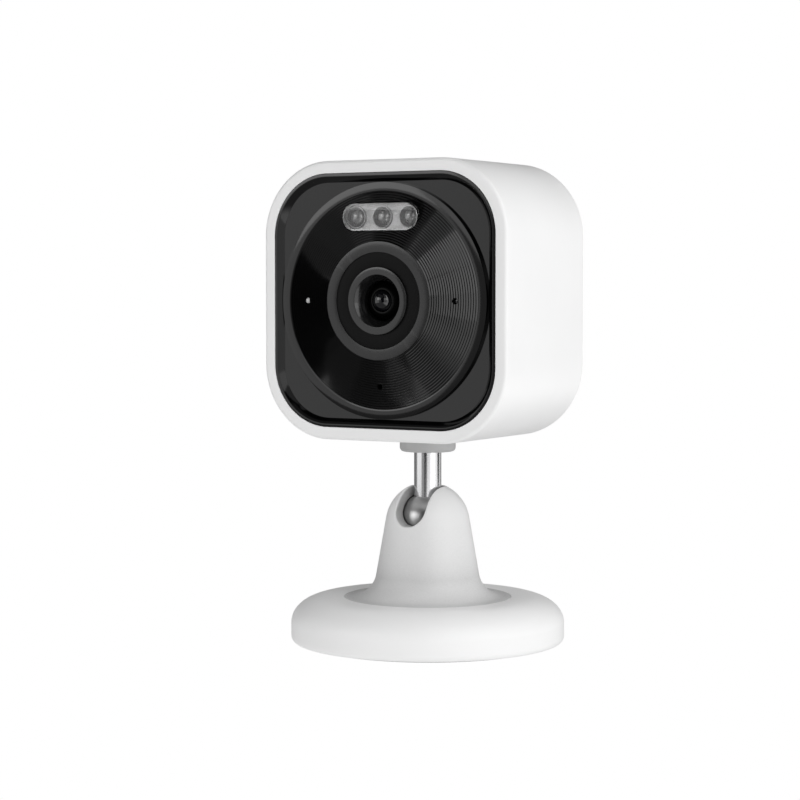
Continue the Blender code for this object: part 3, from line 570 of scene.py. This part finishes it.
def pill_solid(half, radius, outline, at=(0, 0)):
    """A pill-shaped solid whose side follows an (inset, out) outline."""
    return skin([pill_ring(half - inset, radius - inset, out, at) for inset, out in outline],
                closed=False)


print("piece helpers ready")

# %% [markdown]
# ## The white case of the head
# A deep sleeve with rounded corners, moulded in one piece and open at both ends. Its front
# edge is rounded just enough to catch a line of light. A box with a bevel would round every
# edge alike; a loft of the sleeve's own section gives the front, the back and the inner lip
# their own radii.

# %% Case
RIM = 2.35 * MM
WALL = 2.0 * MM
SEAT_OUT = 14.6 * MM
STEM_HOLE = 4.7 * MM

section = soften([
    (0, FACE_OUT, 0.75 * MM), (RIM, FACE_OUT, 0.08 * MM), (RIM, SEAT_OUT, 0), (WALL, SEAT_OUT, 0),
    (WALL, REAR_OUT, 0.2 * MM), (0, REAR_OUT, 1.3 * MM),
], steps=8)
case = loft([(HEAD_HALF - inset, HEAD_CORNER - inset, out) for inset, out in section])
stem_hole = pin(STEM_HOLE, -30 * MM, -20 * MM)
bmesh.ops.rotate(stem_hole, cent=(0, 0, 0), matrix=Matrix.Rotation(-pi / 2, 3, "X"),
                 verts=stem_hole.verts)
case = carved(case, [stem_hole])
piece("head_case", case, head_white, "head", ["shell"], FACE_FORWARD)
print("case section points:", len(section))

# %% [markdown]
# ## The black face
# A lip sits flush in the white rim, then a chamfer drops to a flat, and a low round boss
# rises from it to a cone that leads the eye to the lens. The cone is turned with fine
# grooves. Each groove has one side that leans out and one that leans in, so only the side
# of the cone that faces the bright panel lights up. A bump map could not do this: it would
# vanish from the mesh, and its shading would not hide one side of a groove from the other.

# %% Face
LIP_HALF = 23.60 * MM
LIP_CORNER = HEAD_CORNER - (HEAD_HALF - LIP_HALF)
FLAT_HALF = 21.94 * MM
FLAT_OUT = 16.14 * MM
BOSS_RADIUS = 21.88 * MM
BOSS_OUT = 16.9 * MM
CONE_FOOT = 20.32 * MM
CONE_TOP = 10.98 * MM
CONE_TOP_OUT = 18.53 * MM
FACE_BACK = 14.95 * MM
FACE_BORE = 10.7 * MM
GROOVES = 20
GROOVE_DEPTH = 0.166 * MM
GROOVE_VALLEY = 0.595  # where the valley lies between two crests, from the outer one


def square_station(half, out):
    """A rounded square concentric with the lip."""
    return (half, LIP_CORNER - (LIP_HALF - half), out)


def cone_out(radius):
    """Height of the smooth cone, which bulges a little between its foot and its top."""
    along = (CONE_FOOT - radius) / (CONE_FOOT - CONE_TOP)
    straight = BOSS_OUT + (CONE_TOP_OUT - BOSS_OUT) * along
    return straight + 0.12 * MM * sin(pi * along)


face = [square_station(LIP_HALF, FACE_BACK), square_station(LIP_HALF, FACE_OUT - 0.08 * MM),
        square_station(LIP_HALF - 0.03 * MM, FACE_OUT - 0.02 * MM),
        square_station(LIP_HALF - 0.1 * MM, FACE_OUT),
        square_station(23.03 * MM, FACE_OUT), square_station(22.97 * MM, FACE_OUT - 0.03 * MM),
        square_station(22.05 * MM, FLAT_OUT + 0.09 * MM),
        square_station(21.98 * MM, FLAT_OUT + 0.02 * MM), square_station(FLAT_HALF, FLAT_OUT)]
face += [(r, r, out) for r, out in (
    (BOSS_RADIUS, FLAT_OUT), (BOSS_RADIUS, BOSS_OUT - 0.08 * MM),
    (BOSS_RADIUS - 0.03 * MM, BOSS_OUT - 0.02 * MM), (BOSS_RADIUS - 0.09 * MM, BOSS_OUT),
    (CONE_FOOT + 0.05 * MM, BOSS_OUT))]
pitch = (CONE_FOOT - CONE_TOP) / GROOVES
for groove in range(GROOVES):
    crest = CONE_FOOT - groove * pitch
    for share, drop in ((0.0, 0.0), (GROOVE_VALLEY, 1.0)):
        radius = crest - share * pitch
        face.append((radius, radius, cone_out(radius) - drop * GROOVE_DEPTH))
face += [(r, r, out) for r, out in (
    (CONE_TOP, CONE_TOP_OUT), (FACE_BORE, CONE_TOP_OUT - 0.3 * MM), (FACE_BORE, FACE_BACK))]
face_blank = loft(face, steps=300)

LAMP_UP = 15.4 * MM
PIN_CIRCLE = 15.8 * MM
HOLE_BACK, HOLE_FRONT = 14 * MM, 20 * MM
holes = [pill_solid(8.12 * MM, 2.65 * MM, [(0, HOLE_BACK), (0, HOLE_FRONT)],
                    at=(0, LAMP_UP)),
         pin(0.62 * MM, HOLE_BACK, HOLE_FRONT, 32, (-PIN_CIRCLE, 0)),
         pin(0.58 * MM, HOLE_BACK, HOLE_FRONT, 32, (PIN_CIRCLE, 0)),
         pin(0.56 * MM, HOLE_BACK, HOLE_FRONT, 32, (0, -PIN_CIRCLE))]
face_mesh = carved(face_blank, holes)
print("face:", GROOVES, "grooves,", len(face_mesh.faces), "faces")
piece("black_face", face_mesh, black, "head", ["front_bezel"], FACE_FORWARD,
      sharp_deg=24)

# %% [markdown]
# ## Rings round the lens
# Three turned rings step in towards the glass: a satin outer ring, a matt well that
# swallows light, and a hood whose mouth narrows like a funnel. Separate rings, each with
# its own edge radius, leave the fine shadow lines that one stepped ring would lose.

# %% Rings


def ring_section(inner, outer, low, high, edge):
    """Outline of a ring with rounded front edges."""
    return soften([(inner, low, 0), (outer, low, 0), (outer, high, edge), (inner, high, edge)], 4)


outer_ring = turn(ring_section(8.92 * MM, 10.93 * MM, 18.2 * MM, 18.56 * MM, 0.05 * MM), 240)
piece("lens_outer_ring", outer_ring, lens_grey, "head", ["lens_ring"], FACE_FORWARD)
well = turn(ring_section(6.24 * MM, 8.9 * MM, 15.2 * MM, 18.40 * MM, 0.04 * MM), 240)
piece("lens_well", well, black_matt, "head", ["lens_trim"], FACE_FORWARD)
THROAT = 3.75 * MM
HOOD_BACK, HOOD_STEP, HOOD_FRONT = 12.6 * MM, 15.2 * MM, 18.80 * MM
HOOD_OUT = 6.22 * MM
hood = turn(soften([
    (THROAT, HOOD_BACK, 0), (6.0 * MM, HOOD_BACK, 0), (HOOD_OUT, HOOD_STEP, 0),
    (HOOD_OUT, HOOD_FRONT, 0.06 * MM), (4.84 * MM, HOOD_FRONT, 0.06 * MM),
    (THROAT, 16.9 * MM, 0.06 * MM),
], 4), 240)
piece("lens_mouth", hood, mouth_grey, "head", ["lens_hood"], FACE_FORWARD)

# %% [markdown]
# The front glass is a steep little dome held by a black cone ring. The steep curve is what
# shrinks each studio panel to a small glint.

# %% Lens
GLASS_RADIUS = 2.0 * MM
GLASS_RISE = 1.3 * MM
GLASS_FOOT = 16.9 * MM
GLASS_BACK = 13.8 * MM
sphere = (GLASS_RADIUS ** 2 + GLASS_RISE ** 2) / (2 * GLASS_RISE)
rim_deg = degrees(asin((sphere - GLASS_RISE) / sphere))
dome = arc((0, GLASS_FOOT + GLASS_RISE - sphere), sphere, rim_deg, 90, 20)
glass = turn([(0, GLASS_BACK), (GLASS_RADIUS, GLASS_BACK)] + dome[:-1]
             + [(0, GLASS_FOOT + GLASS_RISE)], 128, closed=False)
piece("lens_glass_front", glass, lens_black, "head", ["lens_front_glass"],
      FACE_FORWARD)
TUBE_BORE, TUBE_OUT = 2.08 * MM, 3.5 * MM
TUBE_BACK, TUBE_FRONT = 5.0 * MM, 16.95 * MM
barrel = turn(soften([
    (TUBE_BORE, TUBE_BACK, 0), (TUBE_OUT, TUBE_BACK, 0), (TUBE_OUT, 15.7 * MM, 0.1 * MM),
    (2.5 * MM, 16.85 * MM, 0.15 * MM), (2.3 * MM, TUBE_FRONT, 0.03 * MM),
    (TUBE_BORE, TUBE_FRONT, 0.03 * MM),
], 4), 128)
piece("lens_tube", barrel, lens_well_black, "head", ["lens_barrel"], FACE_FORWARD)
print("lens dome radius", round(sphere / MM, 2), "mm")

# %% [markdown]
# ## The lamp window
# A clear bar with three lamps behind it, each in a bright cup. The window is a real solid
# of clear plastic over a real tray with real cups, because painted circles would slide
# flat under the gloss as the view turns.

# %% Lamps
LED_PITCH = 5.6 * MM
LAMP_HALF = 8.05 * MM
LAMP_ROUND = 2.58 * MM
TRAY_FRONT = 16.4 * MM
CUP_MOUTH = 1.86 * MM
CUP_LIP = 0.2 * MM
lamp_places = [(i, i * LED_PITCH) for i in (-1, 0, 1)]


def moved(bm, across, up):
    """The same mesh, moved across the face."""
    bmesh.ops.translate(bm, vec=(across, up, 0), verts=bm.verts)
    return bm


cover = pill_solid(LAMP_HALF, LAMP_ROUND, [
    (0, 17.3 * MM), (0, 17.72 * MM), (0.05 * MM, 17.86 * MM), (0.16 * MM, 17.95 * MM),
    (0.4 * MM, 17.98 * MM)], at=(0, LAMP_UP))
piece("lamp_cover", cover, window_clear, "head", ["light_window"], FACE_FORWARD)

tray = pill_solid(LAMP_HALF, LAMP_ROUND, [(0, 12.6 * MM), (0, 17.25 * MM)], at=(0, LAMP_UP))
floor_cut = pill_solid(LAMP_HALF - 0.3 * MM, LAMP_ROUND - 0.3 * MM,
                       [(0.12 * MM, TRAY_FRONT), (0, 17.4 * MM)], at=(0, LAMP_UP))
tray = carved(tray, [floor_cut])
lips = [moved(turn(soften([
    (CUP_MOUTH - 0.1 * MM, TRAY_FRONT - 0.4 * MM, 0), (CUP_MOUTH + CUP_LIP, TRAY_FRONT - 0.4 * MM, 0),
    (CUP_MOUTH + CUP_LIP, TRAY_FRONT + 0.3 * MM, 0.09 * MM),
    (CUP_MOUTH - 0.1 * MM, TRAY_FRONT + 0.3 * MM, 0.09 * MM)], 3), 96), x, LAMP_UP)
    for _, x in lamp_places]
tray = carved(tray, lips, "UNION")
LAMP_RADIUS = 1.5 * MM
LAMP_SHOULDER = 15.5 * MM
LAMP_RISE = 1.3 * MM
CUP_FOOT = 1.58 * MM
bowl_side = [(CUP_FOOT + (CUP_MOUTH - CUP_FOOT) * sin(a), 16.62 * MM - 1.7 * MM * cos(a))
             for a in (pi / 2 * k / 12 for k in range(13))]
bowls = [moved(turn([(0, 12.2 * MM), (CUP_FOOT, 12.2 * MM)] + bowl_side
                    + [(CUP_MOUTH, 17.1 * MM), (0, 17.1 * MM)], 96, closed=False), x, LAMP_UP)
         for _, x in lamp_places]
piece("lamp_tray", carved(tray, bowls), cup_mirror, "head", ["lamp_reflector"],
      FACE_FORWARD)
for i, x in lamp_places:
    crown = [(LAMP_RADIUS * cos(a), LAMP_SHOULDER + LAMP_RISE * sin(a))
             for a in (pi / 2 * k / 10 for k in range(10))]
    lamp = turn([(0, 12.5 * MM), (LAMP_RADIUS, 12.5 * MM)] + crown
                + [(0, LAMP_SHOULDER + LAMP_RISE)], 64, closed=False)
    piece(f"lamp_dome_{i + 2}", moved(lamp, x, LAMP_UP), lamp_frost, "head",
          [f"led_{i + 2}"], FACE_FORWARD)

for name, material, slot, node, across, front in (
        ("status_pipe", pipe_clear, "clear_plastic", "status_light", -PIN_CIRCLE, 17.5),
        ("light_eye", lens_black, "lens_glass", "light_sensor", PIN_CIRCLE, 17.15)):
    tip = turn([(0, 13.2 * MM), (0.55 * MM, 13.2 * MM), (0.55 * MM, front * MM - 0.12 * MM),
                (0.47 * MM, front * MM - 0.04 * MM), (0.3 * MM, front * MM),
                (0, front * MM + 0.03 * MM)], 32, closed=False)
    bmesh.ops.translate(tip, vec=(across, 0, 0), verts=tip.verts)
    piece(name, tip, material, "head", [node], FACE_FORWARD)
print("lamps: 3, small eyes: 2")

# %% [markdown]
# ## The back
# The back plate sits just inside the case. It has a round field of sound holes, a deep
# recess for the plug and a small button beside it. The holes are cut through, so they go
# dark by themselves.

# %% Back plate
PLUG_UP = -15.0 * MM
SPEAKER_UP = 8.0 * MM
BUTTON_X = 12.0 * MM
BACK_OUT = -14.3 * MM
HOLE_PITCH = 2.1 * MM
SOUND_HOLE = 0.55 * MM
back_half = HEAD_HALF - WALL - 0.08 * MM
back_corner = HEAD_CORNER - WALL - 0.08 * MM
back_section = [(0, -12.5 * MM), (0, BACK_OUT + 0.25 * MM), (0.07 * MM, BACK_OUT + 0.07 * MM),
                (0.25 * MM, BACK_OUT)]
back = loft([(back_half - inset, back_corner - inset, out) for inset, out in back_section],
            closed=False)
back = carved(back, [pill_solid(7.8 * MM, 5.0 * MM, [(0, -13.4 * MM), (0, -8.7 * MM)],
                                at=(0, PLUG_UP))], "UNION")
mouth = [(0.0, -9.9 * MM), (-0.05 * MM, -13.8 * MM), (-0.25 * MM, -14.15 * MM),
         (-0.6 * MM, -14.4 * MM)]
cuts = [pill_solid(6.6 * MM, 3.8 * MM, mouth, at=(0, PLUG_UP)),
        pill_solid(4.75 * MM, 1.85 * MM, [(0, -8 * MM), (0, -11 * MM)], at=(0, PLUG_UP)),
        pin(1.85 * MM, -16 * MM, -8 * MM, 48, (BUTTON_X, PLUG_UP))]
places = [(0.0, 0.0)]
for ring in (1, 2, 3):
    places += [(ring * HOLE_PITCH * cos(2 * pi * k / (ring * 6)),
                ring * HOLE_PITCH * sin(2 * pi * k / (ring * 6))) for k in range(ring * 6)]
cuts += [pin(SOUND_HOLE, -16 * MM, -11 * MM, 20, (x, SPEAKER_UP + y)) for x, y in places]
piece("back_plate", carved(back, cuts), head_white, "head", ["rear_cover"],
      FACE_FORWARD)
print("sound holes:", len(places))

# %% [markdown]
# The plug socket is a thin pressed shell with a contact tongue inside, and the button is a
# small cap with a rounded edge.

# %% Socket and button
socket = carved(pill_solid(4.45 * MM, 1.6 * MM, [(0, -4.6 * MM), (0, -9.7 * MM),
                                                 (0.08 * MM, -9.8 * MM)], at=(0, PLUG_UP)),
                [pill_solid(4.15 * MM, 1.3 * MM, [(0, -5.4 * MM), (0, -11 * MM)],
                            at=(0, PLUG_UP))])
piece("plug_socket", socket, steel, "head", ["power_socket"], FACE_FORWARD)
tongue = pill_solid(3.3 * MM, 0.35 * MM, [(0, -5.6 * MM), (0, -9.2 * MM), (0.1 * MM, -9.3 * MM)],
                    at=(0, PLUG_UP))
piece("plug_tongue", tongue, chip, "head", (), FACE_FORWARD)
cap = turn([(0, -14.12 * MM), (1.2 * MM, -14.1 * MM), (1.45 * MM, -14.03 * MM),
            (1.58 * MM, -13.85 * MM), (1.6 * MM, -12.0 * MM), (2.7 * MM, -12.0 * MM),
            (2.7 * MM, -11.2 * MM), (1.2 * MM, -11.2 * MM), (1.2 * MM, -7.4 * MM),
            (0, -7.4 * MM)], 48, closed=False)
bmesh.ops.translate(cap, vec=(BUTTON_X, PLUG_UP, 0), verts=cap.verts)
piece("button_cap", cap, grey, "button", ["reset_button"], FACE_FORWARD)

# %% [markdown]
# ## Collar, stem and ball
# The collar is soft grey plastic, the stem is chromed and the ball is a duller metal, so
# the three read apart at a glance.

# %% Collar, stem and ball
STEM_RADIUS = 2.6 * MM
COLLAR_BORE, COLLAR_OUT, COLLAR_NECK = 2.68 * MM, 5.35 * MM, 4.6 * MM
COLLAR_LOW, COLLAR_STEP = 36.68 * MM, 39.47 * MM
_, collar_high, _ = spans("mount_collar")
collar = turn(soften([
    (COLLAR_BORE, COLLAR_LOW, 0.1 * MM), (COLLAR_OUT, COLLAR_LOW, 0.8 * MM),
    (COLLAR_OUT, COLLAR_STEP, 0), (COLLAR_NECK, COLLAR_STEP, 0), (COLLAR_NECK, collar_high.z, 0),
    (COLLAR_BORE, collar_high.z, 0),
], 7), 128)
piece("stem_collar", collar, grey, "head", ["mount_collar"])

CLIP_RADIUS = 1.9 * MM     # the stem's waist, where its clip snaps in
CLIP_LOW, CLIP_HIGH = 42.6 * MM, 43.8 * MM
stem_low, stem_high, _ = spans("stem_rod")
stem = turn([(0, stem_low.z), (STEM_RADIUS, stem_low.z), (STEM_RADIUS, CLIP_LOW),
             (CLIP_RADIUS, CLIP_LOW), (CLIP_RADIUS, CLIP_HIGH), (STEM_RADIUS, CLIP_HIGH),
             (STEM_RADIUS, stem_high.z - 0.3 * MM), (2.3 * MM, stem_high.z),
             (0, stem_high.z)], 128, closed=False)
piece("chrome_stem", stem, chrome, "stem", ["stem_rod"])

bore = STEM_RADIUS + 0.04 * MM
POLISHED_RADIUS = BALL_RADIUS + 0.1 * MM
lip_deg = degrees(acos(bore / POLISHED_RADIUS))
ball_floor = BALL_Z - 1.5 * MM
ball = turn([(0, BALL_Z - POLISHED_RADIUS)] + arc((0, BALL_Z), POLISHED_RADIUS, -86, lip_deg, 44)
            + [(bore, ball_floor), (0, ball_floor)], 128, closed=False)
piece("joint_ball", ball, ball_metal, "stem", ["ball"])
print("collar, stem and ball made")

# %% [markdown]
# ## The pedestal and its slot
# The pedestal is turned, and the slot is where the stem folds forward. The slot's edge is
# softly rounded, which is hard to add afterwards because the edge runs over a dome, down a
# cone and round a half circle. So the cutter carries the rounding: its outline is the
# slot's own edge laid on the pedestal, and it flares outwards along a quarter circle.

# %% Pedestal outline
DOME_Z = 22.7 * MM
DOME_RADIUS = 8.07 * MM
LEAN = radians(9.89)
FILLET = 5.0 * MM
FLANGE = 15.93 * MM
SLOT_HALF = 3.1 * MM
SLOT_FOOT = 22.8 * MM
SOCKET = BALL_RADIUS + 0.3 * MM
INNER_BORE, INNER_LOW = 5.7 * MM, 5.0 * MM
SKIRT, FLANGE_LOW = 9.4 * MM, 7.2 * MM
side_top = (DOME_RADIUS * cos(LEAN), DOME_Z + DOME_RADIUS * sin(LEAN))
fillet_z = BASE_TOP + FILLET
fillet_x = side_top[0] + (side_top[1] - fillet_z) * tan(LEAN) + FILLET / cos(LEAN)
outside = arc((fillet_x, fillet_z), FILLET, -90, -180 + degrees(LEAN), 28)
side_foot = outside[-1]
outside += [(side_foot[0] + (side_top[0] - side_foot[0]) * k / 24,
             side_foot[1] + (side_top[1] - side_foot[1]) * k / 24) for k in range(1, 24)]
outside += arc((0, DOME_Z), DOME_RADIUS, degrees(LEAN), 84, 44)
apex_cap = [(0, DOME_Z + DOME_RADIUS)]
inside = [(0, BALL_Z + SOCKET)] + arc((0, BALL_Z), SOCKET, 84, 0, 30)
inside += [(INNER_BORE, BALL_Z - 1.4 * MM), (INNER_BORE, INNER_LOW)]
under = [(SKIRT, INNER_LOW), (SKIRT, FLANGE_LOW), (FLANGE, FLANGE_LOW),
         (FLANGE, BASE_TOP - 0.06 * MM), (FLANGE - 0.06 * MM, BASE_TOP)]


def outside_radius(z):
    """Radius of the pedestal's outer side above its fillet."""
    if z > side_top[1]:
        return sqrt(max(0, DOME_RADIUS ** 2 - (z - DOME_Z) ** 2))
    return side_top[0] + (side_top[1] - z) * tan(LEAN)


def dome_height(across, forward):
    """Height of the dome over a point."""
    return DOME_Z + sqrt(DOME_RADIUS ** 2 - across ** 2 - forward ** 2)


def slot_edge():
    """The slot's edge on the surface: back half circle, left side, round foot, right side."""
    foot_middle = SLOT_FOOT + SLOT_HALF
    edge = []
    for k in range(25):
        a = pi * k / 24
        x, y = SLOT_HALF * cos(a), SLOT_HALF * sin(a)
        edge.append(Vector((x, y, dome_height(x, y))))
    reach_front = sqrt(outside_radius(foot_middle) ** 2 - SLOT_HALF ** 2)
    low_deg = degrees(atan2(foot_middle - DOME_Z, reach_front))
    side_radius = sqrt(DOME_RADIUS ** 2 - SLOT_HALF ** 2)
    side = arc((0, DOME_Z), side_radius, 90, low_deg, 30)[1:-1]
    edge += [Vector((-SLOT_HALF, -y, z)) for y, z in side]
    for k in range(37):
        a = pi + pi * k / 36
        x, z = SLOT_HALF * cos(a), foot_middle + SLOT_HALF * sin(a)
        edge.append(Vector((x, -sqrt(outside_radius(z) ** 2 - x * x), z)))
    edge += [Vector((SLOT_HALF, -y, z)) for y, z in reversed(side)]
    return edge


def outward(point):
    """Direction straight out of the pedestal's surface."""
    if point.z > side_top[1]:
        return (point - Vector((0, 0, DOME_Z))).normalized()
    flat = Vector((point.x, point.y, 0)).normalized()
    return (flat * cos(LEAN) + Vector((0, 0, sin(LEAN)))).normalized()


def wall_direction(point):
    """The way the slot's wall runs into the pedestal from a point of its edge."""
    if point.y > -1e-6:
        return Vector((0, 0, -1))
    if point.z < SLOT_FOOT + SLOT_HALF:
        return Vector((0, 1, 0))
    return Vector((0, -point.y, BALL_Z - point.z)).normalized()


def slot_cutter(rounding, steps=8, wall=3.6 * MM, clear=6 * MM):
    """The slot's cutter. It flares outwards along an arc and so rounds the edge that it cuts."""
    edge = slot_edge()
    rings = [[] for _ in range(steps + 4)]
    for i, point in enumerate(edge):
        along = (edge[(i + 1) % len(edge)] - edge[i - 1]).normalized()
        out = outward(point)
        away = along.cross(out).normalized()
        inward = wall_direction(point)
        half_angle = away.angle(inward) / 2
        reach = rounding / tan(half_angle)
        middle = point + (away + inward).normalized() * rounding / sin(half_angle)
        first = (point + away * reach - middle) / rounding
        last = (point + inward * reach - middle) / rounding
        sweep = first.angle(last)
        rings[0].append(point + out * clear + away * (reach + 0.4 * MM))
        rings[1].append(point + out * 0.03 * MM + away * (reach + 0.06 * MM))
        for k in range(steps + 1):
            share = k / steps
            spoke = (first * sin((1 - share) * sweep) + last * sin(share * sweep)) / sin(sweep)
            rings[k + 2].append(middle + spoke * rounding)
        rings[steps + 3].append(point + inward * wall)
    rings = [[tuple(p) for p in ring] for ring in rings]
    return skin([[(0, -10 * MM, 40 * MM)]] + rings + [[(0, 0, BALL_Z)]], closed=False)


pedestal_blank = turn(outside + apex_cap + inside + under, 192)
pedestal = carved(pedestal_blank, [slot_cutter(0.35 * MM)])
print("pedestal: side foot", side_foot, "top", side_top, "faces", len(pedestal.faces))
piece("pedestal_cover", pedestal, stand_white, "stand", ["pedestal"])

# %% [markdown]
# ## The base
# A shallow dish turned upside down: flat near the pedestal, then a shoulder that rolls over
# as a quarter of an ellipse. The pedestal drops into its middle and leaves a hairline seam.
# A rubber ring lifts the whole stand a little and shows as a dark line underneath.

# %% Base
SEAM = 16.02 * MM
SHOULDER = 19.7 * MM
SHOULDER_LOW = 4.0 * MM
BASE_THICK = 1.75 * MM
INSIDE_RADIUS = 24.4 * MM
PAD_INNER = 19.8 * MM
FOOT_ROUND = 1.2 * MM
base_bottom = base_low.z
shoulder = [(SHOULDER + (BASE_RADIUS - SHOULDER) * sin(a),
             SHOULDER_LOW + (BASE_TOP - SHOULDER_LOW) * cos(a))
            for a in (pi / 2 * k / 36 for k in range(37))]
base_outline = [(SEAM, BASE_TOP - 0.07 * MM), (SEAM + 0.02 * MM, BASE_TOP - 0.02 * MM),
                (SEAM + 0.07 * MM, BASE_TOP)] + shoulder
base_outline += arc((BASE_RADIUS - FOOT_ROUND, base_bottom + FOOT_ROUND), FOOT_ROUND, 0, -90, 10)
base_outline += [(INSIDE_RADIUS, base_bottom), (INSIDE_RADIUS, SHOULDER_LOW)]
base_outline += [(SHOULDER + (24.3 * MM - SHOULDER) * sin(a),
                  SHOULDER_LOW + (BASE_TOP - BASE_THICK - SHOULDER_LOW) * cos(a))
                 for a in (pi / 2 * (1 - k / 12) for k in range(1, 13))]
base_outline += [(SEAM, BASE_TOP - BASE_THICK)]
piece("base_cover", turn(base_outline, 240), base_white, "stand", ["base_shell"])
pad_low, pad_high, _ = spans("foot_pad")
PAD_OUT = (pad_high.x - pad_low.x) / 2
pad = turn(soften([
    (PAD_INNER, pad_low.z, 0.25 * MM), (PAD_OUT, pad_low.z, 0.25 * MM),
    (PAD_OUT, pad_high.z, 0), (PAD_INNER, pad_high.z, 0),
], 4), 160)
piece("foot_ring", pad, rubber, "stand", ["foot_pad"])
print("base outline points:", len(base_outline))
